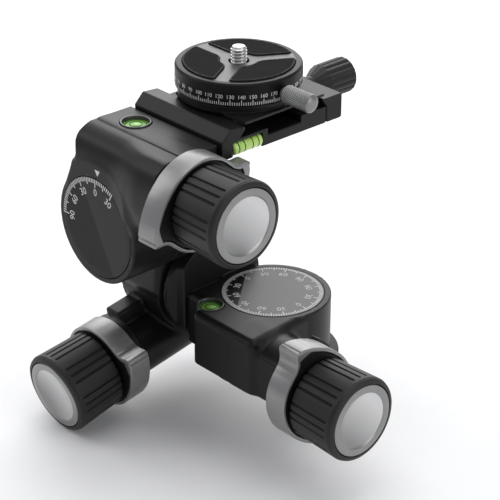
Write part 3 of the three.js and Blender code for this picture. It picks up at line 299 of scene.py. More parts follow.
LIQUID = {"grain": 300.0, "bump": (0.0, 0.00001), "spread": 0.04, "amount": 0.8}
INK_COAT = {"grain": 4000.0, "amount": 0.3}
LOOK = {
    # Painted edge highlight on the housings: a lighter colour along convex edges stands in for
    # light caught by the rounded corners.
    "housing": coat("Satin_black_powder_coat", 0.007, 0.020, 0.40, worn=(0.035, 0.3),
                    Specular_IOR_Level=0.22),
    # Painted edge highlight on the base: a lighter colour along its convex edges.
    "base": coat("Black_anodised_base", 0.005, 0.014, 0.38, worn=(0.04, 0.4),
                 Specular_IOR_Level=0.14),
    "grip": coat("Matt_black_grip", 0.012, 0.03, 0.5, grain=3600.0, bump=(0.5, 0.00002),
                 Specular_IOR_Level=0.3),
    "lever": coat("Satin_silver_lever", 0.25, 0.27, 0.34, grain=5200.0, bump=(0.12, 0.00001),
                  spread=0.02, metallic=0.6, amount=0.15),
    "cap_ring": turned_metal("Silver_cap_ring", 0.24, 0.30, 0.3, strength=0.3, spread=0.02,
                             metallic=0.7),
    # Painted reflection on the cap face: the dish is painted darker towards its lower left, a
    # reflected-light gradient.
    "cap_face": turned_metal("Spun_pale_cap_face", 0.60, 0.63, 0.3, strength=0.3, spread=0.02,
                             bump=(0.05, 0.00001), metallic=0.8, zone=(0.24, 225, -8, 17, 11.2)),
    # Painted reflection on the pan dial: a near-black segment beyond a chord, the black body
    # reflected in the dial.
    "dial_grey": turned_metal("Grey_spun_dial", 0.15, 0.17, 0.36, metallic=0.0,
                              Specular_IOR_Level=0.12, zone=(0.003, 220.4, 12.1, 0.15, 18.0)),
    "dial_band": turned_metal("Light_dial_band", 0.18, 0.21, 0.36, Specular_IOR_Level=0.2),
    # Painted sheen on the side dials: a lighter half beyond a line near the centre, the sheen of
    # spun metal.
    "dial_black": turned_metal("Black_spun_dial", 0.012, 0.02, 0.36, metallic=0.1,
                               Specular_IOR_Level=0.1, zone=(0.032, 28.0, -0.6, 1.6, 19.9)),
    "print_white": coat("White_printing_ink", 0.62, 0.5, 0.5, **INK_COAT),
    "print_light": coat("Light_grey_printing_ink", 0.55, 0.45, 0.5, **INK_COAT),
    # Black ink for the printed level rings, also laid as painted shade in the pan dial gap and the
    # platform seam.
    "print_dark": coat("Black_ink_and_painted_shade", 0.004, 0.012, 0.6, **INK_COAT,
                       Specular_IOR_Level=0.1),
    "disc_top": coat("Grey_satin_disc_top", 0.07, 0.10, 0.42, metallic=0.2, amount=0.2),
    "bright_steel": turned_metal("Bright_plated_steel", 0.45, 0.62, 0.28, metallic=0.85),
    "steel": turned_metal("Plain_turned_steel", 0.25, 0.40, 0.34, metallic=0.9),
    "bronze": turned_metal("Turned_bronze", (0.36, 0.22, 0.08), (0.5, 0.32, 0.12), 0.36,
                           metallic=0.85),
    "rubber": coat("Ribbed_black_rubber", 0.018, 0.035, 0.62, grain=3000.0, bump=(0.6, 0.00003),
                   Specular_IOR_Level=0.12),
    "lock_steel": turned_metal("Grey_knurled_steel", 0.20, 0.32, 0.34, metallic=0.75),
    "fluid": coat("Level_fluid", (0.13, 0.33, 0.05), (0.22, 0.42, 0.10), 0.25,
                  Specular_IOR_Level=0.2, **{**LIQUID, "spread": 0.05}),
    "bubble": coat("Level_bubble", (0.24, 0.50, 0.12), (0.34, 0.6, 0.2), 0.2,
                   Specular_IOR_Level=0.3, **LIQUID),
    "vial_fluid": coat("Tube_level_fluid", (0.34, 0.62, 0.10), (0.62, 0.75, 0.25), 0.1,
                       Coat_Weight=0.6, **{**LIQUID, "grain": 260.0, "amount": 0.9}),
    "level_ring": turned_metal("Grey_level_ring", 0.05, 0.09, 0.3, metallic=0.4),
}


# ---- Mesh helpers ----

def add_object(name, data):
    made = bpy.data.objects.new(name, data)
    bpy.context.scene.collection.objects.link(made)
    return made


def add_piece(name, shape, look, body, slot, place=WORLD, replaces=(), crease=34, normals=None):
    """One piece from (points in millimetres, faces) in the frame place, riding on a body."""
    points, faces = shape
    mesh = bpy.data.meshes.new(name)
    mesh.from_pydata((np.asarray(points, float) * MM).tolist(), [], faces)
    mesh.polygons.foreach_set("use_smooth", [True] * len(mesh.polygons))
    if normals is None:
        mesh.set_sharp_from_angle(angle=math.radians(crease))
    else:
        mesh.normals_split_custom_set(normals.tolist())
    for one in (look if isinstance(look, list) else [look]):
        mesh.materials.append(LOOK[one])
    piece = add_object(name, mesh)
    piece.matrix_world = place
    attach(piece, body)
    if replaces:
        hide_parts(*replaces)
    return piece


def arcs(corners, steps=5, closed=False):
    """A line or loop whose corners (u, v, radius) are rounded with arcs."""
    points = []
    count = len(corners)
    for i, corner in enumerate(corners):
        radius = corner[2] if len(corner) > 2 else 0
        here = np.array(corner[:2], float)
        if not radius or (not closed and i in (0, count - 1)):
            points.append(here)
            continue
        back = np.array(corners[i - 1][:2], float) - here
        ahead = np.array(corners[(i + 1) % count][:2], float) - here
        back /= np.linalg.norm(back)
        ahead /= np.linalg.norm(ahead)
        half = math.acos(max(-1.0, min(1.0, float(back @ ahead)))) / 2
        middle = back + ahead
        centre = here + middle / np.linalg.norm(middle) * radius / math.sin(half)
        start = here + back * radius / math.tan(half) - centre
        end = here + ahead * radius / math.tan(half) - centre
        sweep = math.pi - 2 * half
        sign = 1 if start[0] * end[1] - start[1] * end[0] > 0 else -1
        for k in range(steps + 1):
            a = sign * sweep * k / steps
            points.append(centre + [start[0] * math.cos(a) - start[1] * math.sin(a),
                                    start[0] * math.sin(a) + start[1] * math.cos(a)])
    return [tuple(float(x) for x in p) for p in points]


def wheel_rows(rows, count, closed=False):
    """Points and faces of rows (radius, height) round an axis. Each may vary with the angle."""
    angle = round_angles(count)
    points, starts = [], []
    for radius, height in rows:
        starts.append(len(points))
        if np.isscalar(radius) and abs(radius) < 1e-9:
            points.append((0.0, 0.0, float(height if np.isscalar(height) else height[0])))
            continue
        r = np.broadcast_to(np.asarray(radius, float), (count,))
        z = np.broadcast_to(np.asarray(height, float), (count,))
        points += list(zip(r * np.cos(angle), r * np.sin(angle), z))
    sizes = [b - a for a, b in zip(starts, starts[1:] + [len(points)])]
    pairs = list(zip(range(len(rows)), range(1, len(rows))))
    if closed:
        pairs.append((len(rows) - 1, 0))
    faces = []
    for low, high in pairs:
        a, b = starts[low], starts[high]
        for j in range(count):
            k = (j + 1) % count
            if sizes[low] == 1:
                faces.append((a, b + k, b + j))
            elif sizes[high] == 1:
                faces.append((a + j, a + k, b))
            else:
                faces.append((a + j, a + k, b + k, b + j))
    return points, faces


def refined(line, length, radius, shares):
    """The line with more points on each side longer than length and further out than radius."""
    section = []
    for a, b in zip(line, line[1:]):
        section.append(a)
        long = math.dist(a, b)
        if long > length and a[0] > radius:
            section += [tuple(a[k] + (b[k] - a[k]) * t for k in (0, 1)) for t in shares(long)]
    return section + [line[-1]]


def turned(name, section, look, body, slot, place=WORLD, count=96, closed=False, shape=None,
           **more):
    """A turned piece, its section's outer side running upwards.

    shape(radius, height, angle) bends it."""
    angle = round_angles(count)
    rows = []
    for r, z in section:
        if shape is not None and r > 1e-6:
            r = shape(np.full(count, float(r)), z, angle)
        rows.append((r, z))
    return add_piece(name, wheel_rows(rows, count, closed), look, body, slot, place, **more)


def merge_parts(parts):
    """Several (points, faces) as one."""
    points, faces = [], []
    for p, f in parts:
        base = len(points)
        points += list(p)
        faces += [tuple(i + base for i in face) for face in f]
    return points, faces


def bar(low, high, bend=None):
    """A small closed bar between two corners. bend maps its points, such as round a drum."""
    corners = [(x, y, z) for z in (low[2], high[2]) for y in (low[1], high[1])
               for x in (low[0], high[0])]
    if bend:
        corners = [bend(c) for c in corners]
    return corners, [(0, 2, 3, 1), (4, 5, 7, 6), (0, 1, 5, 4), (2, 6, 7, 3), (0, 4, 6, 2),
                     (1, 3, 7, 5)]


# ---- Cast bodies: a distance field, meshed with its edges kept ----

def meet(a, b, r=0.0):
    """What two bodies share, its edge rounded by r."""
    if not r:
        return np.maximum(a, b)
    u, v = a + r, b + r
    return np.minimum(np.maximum(u, v), 0) + np.hypot(np.maximum(u, 0), np.maximum(v, 0)) - r


def join(a, b, r=0.0):
    """Two bodies together, with a fillet of r in the corner between them."""
    return -meet(-a, -b, r)


def carve(a, b, r=0.0):
    """The first body without the second, its lip rounded by r."""
    return meet(a, -b, r)


def either(*bodies):
    """All the bodies together, their corners left sharp."""
    return reduce(np.minimum, bodies)


def between(values, low, high):
    return np.abs(values - (low + high) / 2) - (high - low) / 2


def round_bar(p, origin, axis, radius, low, high, edge=0.0):
    """A cylinder from low to high along an axis through origin."""
    q = p - np.asarray(origin, float)
    along = q @ np.asarray(axis, float)
    across = np.sqrt(np.maximum((q * q).sum(-1) - along * along, 0))
    return meet(across - radius, between(along, low, high), edge)


def flat_outline(u, v, corners):
    """Distance to a flat closed outline, negative inside."""
    best = np.full(u.shape, 1e9)
    inside = np.zeros(u.shape, bool)
    for (x0, y0), (x1, y1) in zip(corners, corners[1:] + corners[:1]):
        ex, ey = x1 - x0, y1 - y0
        wx, wy = u - x0, v - y0
        t = np.clip((wx * ex + wy * ey) / (ex * ex + ey * ey), 0, 1)
        best = np.minimum(best, (wx - ex * t) ** 2 + (wy - ey * t) ** 2)
        side = ex * wy > ey * wx
        up = (v >= y0) & (v < y1) & side
        down = (v < y0) & (v >= y1) & ~side
        inside ^= up | down
    return np.where(inside, -1, 1) * np.sqrt(best)


def axes(p, x=0, y=0):
    """The points' own x, y and z, seen from a centre."""
    return p[..., 0] - x, p[..., 1] - y, p[..., 2]


def box_field(p, low, high, edge=0.0):
    d = [between(p[..., k], low[k], high[k]) for k in range(3)]
    return meet(meet(d[0], d[1], edge), d[2], edge)


def slope(field, p, step=0.01):
    """Unit direction in which the field rises fastest."""
    rise = np.stack([field(p + step * np.eye(3)[k]) - field(p - step * np.eye(3)[k])
                     for k in range(3)], -1)
    return rise / np.maximum(np.linalg.norm(rise, axis=-1, keepdims=True), 1e-12)


# How strongly a cell's point is held to its middle, and the turn that is kept as an edge.
HOLD, KEPT_EDGE = 0.03, math.radians(36)
CAST_CELL, CLAMP_CELL, PAD_CELL = 0.7, 0.55, 0.33


def cast_mesh(field, low, high, cell):
    """Points, faces and corner normals of the surface where the field is zero."""
    low = np.asarray(low, float) - 1.5 * cell
    count = np.ceil((np.asarray(high, float) + 1.5 * cell - low) / cell).astype(int) + 1
    lines = [low[k] + cell * np.arange(count[k]) for k in range(3)]
    value = np.empty(count)
    for i, x in enumerate(lines[0]):
        y, z = np.meshgrid(lines[1], lines[2], indexing="ij")
        value[i] = field(np.stack([np.full(y.shape, x), y, z], -1))
    cells, spots, quads = [], [], []
    for axis in range(3):
        a = [slice(None)] * 3
        b = [slice(None)] * 3
        a[axis], b[axis] = slice(None, -1), slice(1, None)
        first, second = value[tuple(a)], value[tuple(b)]
        where = np.argwhere((first < 0) != (second < 0))
        v0, v1 = first[tuple(where.T)], second[tuple(where.T)]
        spot = low + cell * where.astype(float)
        spot[:, axis] += cell * v0 / (v0 - v1)
        u, w = (axis + 1) % 3, (axis + 2) % 3
        ring = []
        for du, dw in ((-1, -1), (0, -1), (0, 0), (-1, 0)):
            near = where.copy()
            near[:, u] += du
            near[:, w] += dw
            ring.append(np.ravel_multi_index(near.T, count))
        ring = np.stack(ring, -1)
        ring[v0 >= 0] = ring[v0 >= 0][:, ::-1]
        quads.append(ring)
        cells.append(ring.ravel())
        spots.append(np.repeat(spot, 4, axis=0))
    cells, spots = np.concatenate(cells), np.concatenate(spots)
    lean = np.repeat(slope(field, spots[::4]), 4, axis=0)
    used, index = np.unique(cells, return_inverse=True)
    total = np.bincount(index).astype(float)

    def add_up(w):
        return np.bincount(index, weights=w)

    middle = np.stack([add_up(spots[:, k]) / total for k in range(3)], -1)
    square = np.empty((len(used), 3, 3))
    for i in range(3):
        for j in range(i, 3):
            square[:, i, j] = square[:, j, i] = add_up(lean[:, i] * lean[:, j])
    reach = (lean * (spots - middle[index])).sum(-1)
    right = np.stack([add_up(lean[:, k] * reach) for k in range(3)], -1)
    square += HOLD * total[:, None, None] * np.eye(3)
    points = middle + np.linalg.solve(square, right[..., None])[..., 0]
    corner = low + cell * np.stack(np.unravel_index(used, count), -1)
    points = np.clip(points, corner, corner + cell)
    faces = np.searchsorted(used, np.concatenate(quads))
    a, b, c, d = (points[faces[:, k]] for k in range(4))
    flat = np.cross(c - a, d - b)
    flat /= np.maximum(np.linalg.norm(flat, axis=-1, keepdims=True), 1e-12)
    normal = slope(field, points, 0.02)[faces]
    keep = (normal * flat[:, None, :]).sum(-1) > math.cos(KEPT_EDGE)
    normal = np.where(keep[..., None], normal, flat[:, None, :])
    return points, faces.tolist(), normal.reshape(-1, 3)


def cast(name, field, low, high, cell, look, body, slot, replaces, **more):
    points, faces, normals = cast_mesh(field, low, high, cell)
    return add_piece(name, (points, faces), look, body, slot, replaces=replaces,
                     normals=normals, **more)


def drum_cavities(p, origin, out, worm_depth, open_depth):
    """Dial recess, axle seat and wheel room of one drum, counted down from its face."""
    origin = np.asarray(origin, float)
    recess = round_bar(p, origin, out, 20.5, -1.8, 5)
    head = round_bar(p, origin, out, 8.3, -3.5, -0.9)
    axle = round_bar(p, origin, out, 5.3, -open_depth, -1.8)
    room = round_bar(p, origin, out, 18.6, -open_depth - 1, -(worm_depth - 4.5))
    return either(recess, head, axle, room)


def drive_cavities(p, origin, out, reach):
    """Room for the worm and its sleeve."""
    return either(round_bar(p, origin, out, 4.2, -10.8, 12),
                  round_bar(p, origin, out, 4.9, 11.7, reach - NECK_SHORT + 1.0))


def stop_sector(p, origin, right, up, out, reach, middle, radius=19.4):
    """The raised stop behind a lever."""
    origin = np.asarray(origin, float)
    right, up = np.asarray(right, float), np.asarray(up, float)
    body = round_bar(p, origin, out, radius, reach - STOP_SHORT, reach - NECK_SHORT, 0.4)
    q = p - origin
    c, s = turn(middle)
    toward, side = right * c + up * s, up * c - right * s
    half = math.radians(62)
    wedge = np.abs(q @ side) * math.cos(half) - (q @ toward) * math.sin(half)
    return meet(body, wedge, 0.6)


PAN_PLAN = arcs([(0, 12), (22.2, 6), (24.9, -34, 3), (-8.6, -34, 3), (-12.4, -27.4, 3),
                 (-15.4, -24.6, 1.0), (-23, -24.6, 1.5), (-23, 12)], 4, True)
FLANGE_LEFT = ROLL_Y - FLANGE_R - 1
FLANGE_PLAN = arcs([(-31.6, FLANGE_LEFT), (-29.6, FLANGE_LEFT), (-29.6, FLANGE_LEFT + 1.95),
                    (-28.2, FLANGE_LEFT + 2.9, 1.2), (-26.8, FLANGE_LEFT + 4.6, 1.2),
                    (-22.6, FLANGE_LEFT + 5.6), (-22.6, 36), (-31.6, 36)], 3, True)


def pan_housing_field(p):
    x, y, z = axes(p)
    drum = meet(np.hypot(x, y) - DRUM_R, z - PAN_TOP, DRUM_EDGE)
    block = meet(flat_outline(x, y, PAN_PLAN), z - PAN_TOP, 3.0)
    block = meet(block, PAN_FLOOR - z, 1.4)
    worm = (0, -GEAR, PAN_WORM_Z)
    neck = round_bar(p, worm, X_AXIS, 15.5, 12, PAN_REACH - NECK_SHORT, 0.5)
    neck = meet(neck, -32.2 - y, 0.8)
    stop = stop_sector(p, worm, Y_AXIS, Z_AXIS, X_AXIS, PAN_REACH, 0)
    flange = round_bar(p, (0, ROLL_Y, ROLL_Z), X_AXIS, FLANGE_R, -30.6, -20, 0.8)
    flange = meet(flange, flat_outline(x, y, FLANGE_PLAN), 0.5)
    flange = meet(flange, x + 22.6, 0.8)
    body = join(either(drum, block), either(meet(neck, z - PAN_TOP), stop), 2.4)
    body = join(body, flange, 1.0)
    body = meet(body, PAN_FLOOR - z, 0.4)
    return carve(body, either(
        drum_cavities(p, (0, 0, PAN_TOP), Z_AXIS, PAN_TOP - PAN_WORM_Z, PAN_TOP - PAN_FLOOR),
        drive_cavities(p, worm, X_AXIS, PAN_REACH),
        round_bar(p, PAN_LEVEL, Z_AXIS, 5.7, -2.7, 5),
        round_bar(p, (0, ROLL_Y, ROLL_Z), X_AXIS, FLANGE_BORE, -32, -24.5)))


def roll_housing_field(p):
    x, y, z = axes(p)
    axis = (0, ROLL_Y, ROLL_Z)
    up = np.array((0, -DROP_S, DROP_C))
    drum = round_bar(p, axis, X_AXIS, DRUM_R, ROLL_FACE_X, ROLL_BACK_X, DRUM_EDGE)
    boss = round_bar(p, axis, X_AXIS, 20, -45, ROLL_BACK_X + 2, 0.3)
    tube = round_bar(p, ROLL_WORM, ROLL_OUT, ROLL_TUBE_R, -13.2, ROLL_REACH - NECK_SHORT, 0.6)
    q = p - np.array(ROLL_WORM)
    rib = meet(meet(between(q[..., 0], -7.4, 1.4), between(q @ up, 0, 18.6), 1.6),
               between(q @ np.array(ROLL_OUT), 8, ROLL_REACH - STOP_SHORT), 0.8)
    stop = stop_sector(p, ROLL_WORM, X_AXIS, up, ROLL_OUT, ROLL_REACH, 90, 16.8)
    column = meet(between(x, ROLL_FACE_X, ROLL_BACK_X), between(y, ARM_NEAR_Y, ARM_FAR_Y), 2.0)
    column = meet(column, between(z, ROLL_Z, TILT_Z), 1.0)
    tilt = (TILT_X, 0, TILT_Z)
    flange = round_bar(p, tilt, Y_AXIS, FLANGE_R, -34.6, -26, 0.8)
    cap = round_bar(p, tilt, Y_AXIS, 14.4, ARM_NEAR_Y, ARM_FAR_Y, 2.0)
    body = join(join(join(drum, tube, 2.2), rib, 1.5), stop, 0.8)
    body = join(body, join(either(column, cap), flange, 1.5), 3.0)
    body = meet(either(body, boss), ROLL_FACE_X - x, DRUM_EDGE)
    return carve(body, either(
        drum_cavities(p, (ROLL_FACE_X, ROLL_Y, ROLL_Z), (-1, 0, 0), ROLL_WORM_X - ROLL_FACE_X,
                      ROLL_BACK_X + 2 - ROLL_FACE_X),
        drive_cavities(p, ROLL_WORM, ROLL_OUT, ROLL_REACH),
        round_bar(p, tilt, Y_AXIS, FLANGE_BORE, -36, TILT_BORE_Y)))


def ease(values, start, end):
    t = np.clip((values - start) / (end - start), 0, 1)
    return t * t * (3 - 2 * t)


def tilt_housing_field(p):
    x, y, z = axes(p)
    tilt = (TILT_X, 0, TILT_Z)
    worm_z = TILT_Z + GEAR
    end = TILT_REACH - NECK_SHORT
    drum = round_bar(p, tilt, Y_AXIS, 22.6, TILT_FACE_Y, TILT_BACK_Y, DRUM_EDGE)
    along = x - TILT_X
    radius = TILT_TUBE_R + TILT_FLARE * ease(along, 10, 28)
    round_part = np.hypot(y - TILT_WORM_Y, z - worm_z) - radius
    tube = meet(meet(round_part, TILT_LEFT_X - x, DRUM_EDGE), along - end, 0.5)
    web = meet(between(x, TILT_LEFT_X, -20), between(z, TILT_Z, worm_z))
    web = meet(web, between(y, TILT_FACE_Y - 4, TILT_BACK_Y), 0.6)
    face = TILT_FACE_Y - TILT_SWELL * ease(x, -29, -9) - y
    head = meet(meet(join(tube, web, 6.0), face, 3.6), z - PLATFORM_TOP, 0.8)
    platform = box_field(p, (TILT_LEFT_X, TILT_WORM_Y, 87.2), (TILT_X + end, -29, PLATFORM_TOP),
                         0.6)
    saddle = box_field(p, (-44, TILT_WORM_Y, 88.4), (-15, 12, 95.4), 0.6)
    body = join(meet(drum, face, DRUM_EDGE), head, 6.5)
    body = meet(body, face, DRUM_EDGE)
    body = join(body, either(platform, saddle), 0.8)
    body = meet(body, z - PLATFORM_TOP, 0.6)
    return carve(body, either(
        drum_cavities(p, (TILT_X, TILT_FACE_Y, TILT_Z), (0, -1, 0), TILT_WORM_Y - TILT_FACE_Y,
                      TILT_BACK_Y - TILT_FACE_Y),
        drive_cavities(p, (TILT_X, TILT_WORM_Y, worm_z), X_AXIS, TILT_REACH),
        round_bar(p, TILT_LEVEL, Z_AXIS, 6.3, -2.7, 5),
        round_bar(p, tilt, Y_AXIS, 25.3, TILT_BACK_Y, TILT_BORE_Y),
        *(round_bar(p, (bolt_x, BOLT_Y, 0), Z_AXIS, BOLT_R, 89.7, 97) for bolt_x in BOLT_XS)))


cast("pan_body_casting", pan_housing_field, (-31, -34.5, 6.5), (38.5, 23.2, 49.2), CAST_CELL,
     "housing", "pan_body", "black_metal", ["pan_housing"])
cast("roll_body_casting", roll_housing_field, (-65, -49, -24), (-13, 16, 87.5), CAST_CELL,
     "housing", "roll_body", "black_metal", ["roll_housing"])
cast("tilt_body_casting", tilt_housing_field, (-59, -62.5, 41), (37, 12.5, 105), 0.75, "housing",
     "tilt_body", "black_metal", ["tilt_housing"])


# ---- Clamp and plate ----

CLAMP_LEFT, CLAMP_RIGHT = -47.4, 2.8
CLAMP_SIDE = arcs([(-28.7, 95.7, 0.5), (24.4, 95.7, 0.5), (24.4, 102.4, 0.4), (11.3, 102.4, 0.3),
                   (11.3, 99.9), (-5.7, 99.9), (-5.7, 102.4, 0.3), (-19.9, 102.4),
                   (-17.5, 104.9), (-17.5, 106.4, 0.3), (-24.6, 107, 0.6), (-28.7, 103, 0.4)],
                  3, True)
JAW_SIDE = arcs([(25, 95.7, 0.5), (32.9, 95.7, 0.6), (32.9, 105.9, 0.8), (22.8, 105.9, 0.4),
                 (22.8, 104.9), (25, 102.4)], 3, True)
GUIDE_XS, GUIDE_Z, GUIDE_R = (-40, CLAMP_RIGHT - 4.3), 99, 1.8
SCREW_X, SCREW_Z, SCREW_R = -19.5, 100.4, 2.2
VIAL_X, VIAL_Z = CLAMP_RIGHT - 1.7, 98.4


def clamp_bores(p, low, high, guide_low, guide_high):
    """The bores of the clamp screw and of the two guide rods."""
    return either(round_bar(p, (SCREW_X, 0, SCREW_Z), Y_AXIS, SCREW_R, low, high),
                  *(round_bar(p, (guide_x, 0, GUIDE_Z), Y_AXIS, GUIDE_R, guide_low, guide_high)
                    for guide_x in GUIDE_XS))


def clamp_field(p):
    x, y, z = axes(p)
    body = meet(flat_outline(y, z, CLAMP_SIDE), between(x, CLAMP_LEFT, CLAMP_RIGHT), 0.4)
    window = box_field(p, (VIAL_X - 2.9, -23.5, 94), (CLAMP_RIGHT + 2, -8.6, 101.4), 0.6)
    bolts = (round_bar(p, (bolt_x, BOLT_Y, 0), Z_AXIS, radius, low, 101)
             for bolt_x in BOLT_XS for radius, low in ((BOLT_R, 90), (3.6, 97.1)))
    return carve(body, either(window, clamp_bores(p, 12.2, 30, 12.7, 30), *bolts))


def jaw_field(p):
    x, y, z = axes(p)
    body = meet(flat_outline(y, z, JAW_SIDE), between(x, CLAMP_LEFT, CLAMP_RIGHT), 0.4)
    return carve(body, clamp_bores(p, 20, 40, 20, 31.3))


PLATE_LEFT, PLATE_RIGHT, PLATE_FOOT_RIGHT = -36.0, 3.1, -4.4
PLATE_FOOT = arcs([(-19.15, 102.7), (24.25, 102.7), (22.35, 104.9), (22.35, 107.8),
                   (-17.05, 107.8), (-17.05, 104.9)], 3, True)


def plate_field(p):
    x, y, z = axes(p)
    foot = meet(flat_outline(y, z, PLATE_FOOT), between(x, PLATE_LEFT, PLATE_FOOT_RIGHT), 0.3)
    flange = box_field(p, (PLATE_LEFT, -17.65, 107.1), (PLATE_RIGHT, 22.95, 108.2), 0.3)
    ring = round_bar(p, (DISC_X, DISC_Y, 0), Z_AXIS, 23.4, 107.4, 110.9, 0.5)
    spigot = round_bar(p, (DISC_X, DISC_Y, 0), Z_AXIS, 6, 105, 114.4, 0.2)
    return either(join(either(foot, flange), ring, 0.4), spigot)


cast("clamp_fixed_jaw", clamp_field, (CLAMP_LEFT, -28.7, 95.7), (CLAMP_RIGHT, 24.4, 107),
     CLAMP_CELL, "housing", "tilt_body", "black_metal", ["clamp_body"])
cast("clamp_moving_jaw", jaw_field, (CLAMP_LEFT, 22.8, 95.7), (CLAMP_RIGHT, 32.9, 105.9),
     CLAMP_CELL, "housing", "jaw", "black_metal", ["clamp_jaw"])
cast("plate_dovetail", plate_field, (DISC_X - 23.5, -21.6, 102.7), (PLATE_RIGHT, 25.4, 114.4), 0.5,
     "housing", "top_plate", "black_metal", ["plate_base"])


# ---- Drives: lever band, hub, knob and cap ----

LEVER_STEPS, LEVER_R = 720, 17.7
# The wall of the band, its widest bore and the gap round the hub plate inside it.
LEVER_WALL, LEVER_BORE, HUB_GAP, LEVER_BEVEL = 1.3, 21.0, 0.25, 0.5
LEVER_WINGS = ((0, 1.424), (2.5, 1.333), (4.5, 1.209), (8, 1.124), (13, 1.073), (22, 1.051),
               (38, 1.045), (55, 1.028), (75, 1.006), (90, 1), (105, 1.006), (120, 1.023),
               (130, 1.056), (140, 1.102), (150, 1.158), (160, 1.237), (170, 1.333),
               (176, 1.39), (180, 1.424))


def smooth_round(radius, width):
    kernel = np.hanning(2 * width + 3)[1:-1]
    kernel /= kernel.sum()
    return np.convolve(np.concatenate([radius[-width:], radius, radius[:width]]), kernel, "valid")


def lever_radius(tip):
    """The lever's outline: two wings, each rising slowly to a tip and dropping off behind it."""
    past = (np.degrees(round_angles(LEVER_STEPS)) - tip) % 180
    turns, shares = zip(*LEVER_WINGS)
    radius = smooth_round(LEVER_R * np.interp(past, turns, shares), 3)
    return radius - 0.45 * np.exp(-((past - 176) / 0.6) ** 2)


def moved_in(radius, distance):
    """The outline moved inwards by a distance, as a radius for each local angle."""
    count = len(radius)
    angle = round_angles(count)
    points = np.stack([radius * np.cos(angle), radius * np.sin(angle)], -1)
    along = np.roll(points, -2, 0) - np.roll(points, 2, 0)
    along /= np.linalg.norm(along, axis=-1, keepdims=True)
    points = points - distance * np.stack([along[:, 1], -along[:, 0]], -1)
    found, reach = np.arctan2(points[:, 1], points[:, 0]), np.hypot(points[:, 0], points[:, 1])
    apart = np.abs((found[None, :] - angle[:, None] + math.pi) % FULL - math.pi)
    near = np.where(apart < math.radians(1.2), reach[None, :], 1e9).min(1)
    return np.where(near > 1e8, radius - distance, near)


def add_lever(prefix, place, reach, tip, relief=None):
    """The silver band, and the black hub plate inside it."""
    body = f"{prefix}_release"
    low, high = reach - 32.6, reach - 22.9
    radius = lever_radius(tip)
    plain = smooth_round(radius, 4)
    angle = np.degrees(round_angles(LEVER_STEPS))
    floor = np.full(LEVER_STEPS, low)
    inner = np.minimum(moved_in(plain, LEVER_WALL), LEVER_BORE)
    hub_r = np.minimum(moved_in(plain, LEVER_WALL + HUB_GAP), LEVER_BORE - HUB_GAP)
    pinch, step = hub_r, reach - 30
    if relief:
        turn = (angle + 180) % 360 - 180
        cut = ease(turn, relief[0] - 1, relief[0]) * (1 - ease(turn, relief[1], relief[1] + 1))
        step = relief[2]
        floor = np.maximum(floor, low + cut * (step - low))
        pinch = np.where(cut > 0, np.minimum(hub_r, 18.3), hub_r)
    rows = [(moved_in(radius, 0.35), floor), (radius, floor + 0.35)]
    for k in range(4):
        t = math.pi / 2 * k / 3
        rows.append((moved_in(radius, LEVER_BEVEL * (1 - math.cos(t))) if k else radius,
                     high - LEVER_BEVEL * (1 - math.sin(t))))
    rows += [(inner + 0.15, high), (inner, high - 0.15), (inner, floor)]
    add_piece(f"{prefix}_lever_band", wheel_rows(rows, LEVER_STEPS, closed=True), "lever", body,
              "lever_grey", place, [f"{prefix}_lever"], crease=40)
    front, bore, back = reach - 23.5, 4.8, reach - 32.5
    rows = [(bore, back), (bore + 4, back), (pinch - 1.2, back), (pinch, back), (pinch, step),
            (hub_r, step), (hub_r, front - 0.3), (hub_r - 0.3, front), (0.55 * hub_r, front),
            (bore, front)]
    add_piece(f"{prefix}_lever_plate", wheel_rows(rows, LEVER_STEPS, closed=True), "housing", body,
              "black_metal", place, [f"{prefix}_lever_hub"], crease=30)


KNOB_GROUPS, GROOVE_STEP, GROOVE_HALF, GROOVE_DEPTH = 8, math.radians(11.0), 0.55, 0.75
CAP_FACE_R = 11.2


def add_knob(prefix, place, reach, phase):
    """The fluted grip and its silver-rimmed cap."""
    body = f"{prefix}_drive"
    rear = reach - 22
    line = arcs([(0, reach - 7), (2.7, reach - 7), (2.7, rear + 5), (12.6, rear + 5, 0.8),
                 (12.6, rear, 0.4), (15.9, rear, 0.5), (16.72, reach - 1.9, 0.4),
                 (16.25, reach - 0.7, 0.5), (15.0, reach - 0.2, 0.3), (14.6, reach - 0.2),
                 (14.6, reach - 2.9), (0, reach - 2.9)], 4)
    section = refined(line, 12, 15, lambda long: (0.02, 0.05, 0.3, 0.6, 0.85,
                                                  *np.linspace(0.89, 0.95, 12), 0.97))

    def grooves(r, z, angle):
        if z > reach - 1.5 or z < rear - 0.1 or r[0] < 13.5:
            return r
        pitch = FULL / KNOB_GROUPS
        turn = (angle - math.radians(phase) + pitch / 2) % pitch - pitch / 2
        end = reach - 3.6
        depth = np.zeros_like(r)
        half = GROOVE_HALF
        if z > end:
            half = math.sqrt(max(half * half - (z - end) ** 2, 0))
        if half > 0.03:
            for k in (-1, 0, 1):
                across = np.clip(np.abs(turn - k * GROOVE_STEP) * r / half, 0, 1)
                depth = np.maximum(depth, GROOVE_DEPTH * half / GROOVE_HALF * (1 - across ** 2.4))
        return r - depth

    turned(f"{prefix}_knob_grip", section, "grip", body, "black_knob", place, count=720,
           shape=grooves, replaces=[f"{prefix}_knob"], crease=50)
    line = arcs([(0, reach - 2.6), (14.2, reach - 2.6), (14.2, reach, 0.3), (11.5, reach, 0.12),
                 (11.15, reach - 0.28, 0.1)], 3)
    bowl = [(11.1 * t, reach - 0.3 - 1.7 * (1 - t * t)) for t in np.linspace(1, 0, 20)]
    piece = add_piece(f"{prefix}_cap", wheel_rows(line[:-1] + bowl, 144), ["cap_ring", "cap_face"],
                      body, "cap_grey", place, [f"{prefix}_knob_cap"], crease=30)
    for face in piece.data.polygons:
        middle = face.center
        if math.hypot(middle.x, middle.y) < CAP_FACE_R * MM and middle.z > (reach - 2) * MM:
            face.material_index = 1


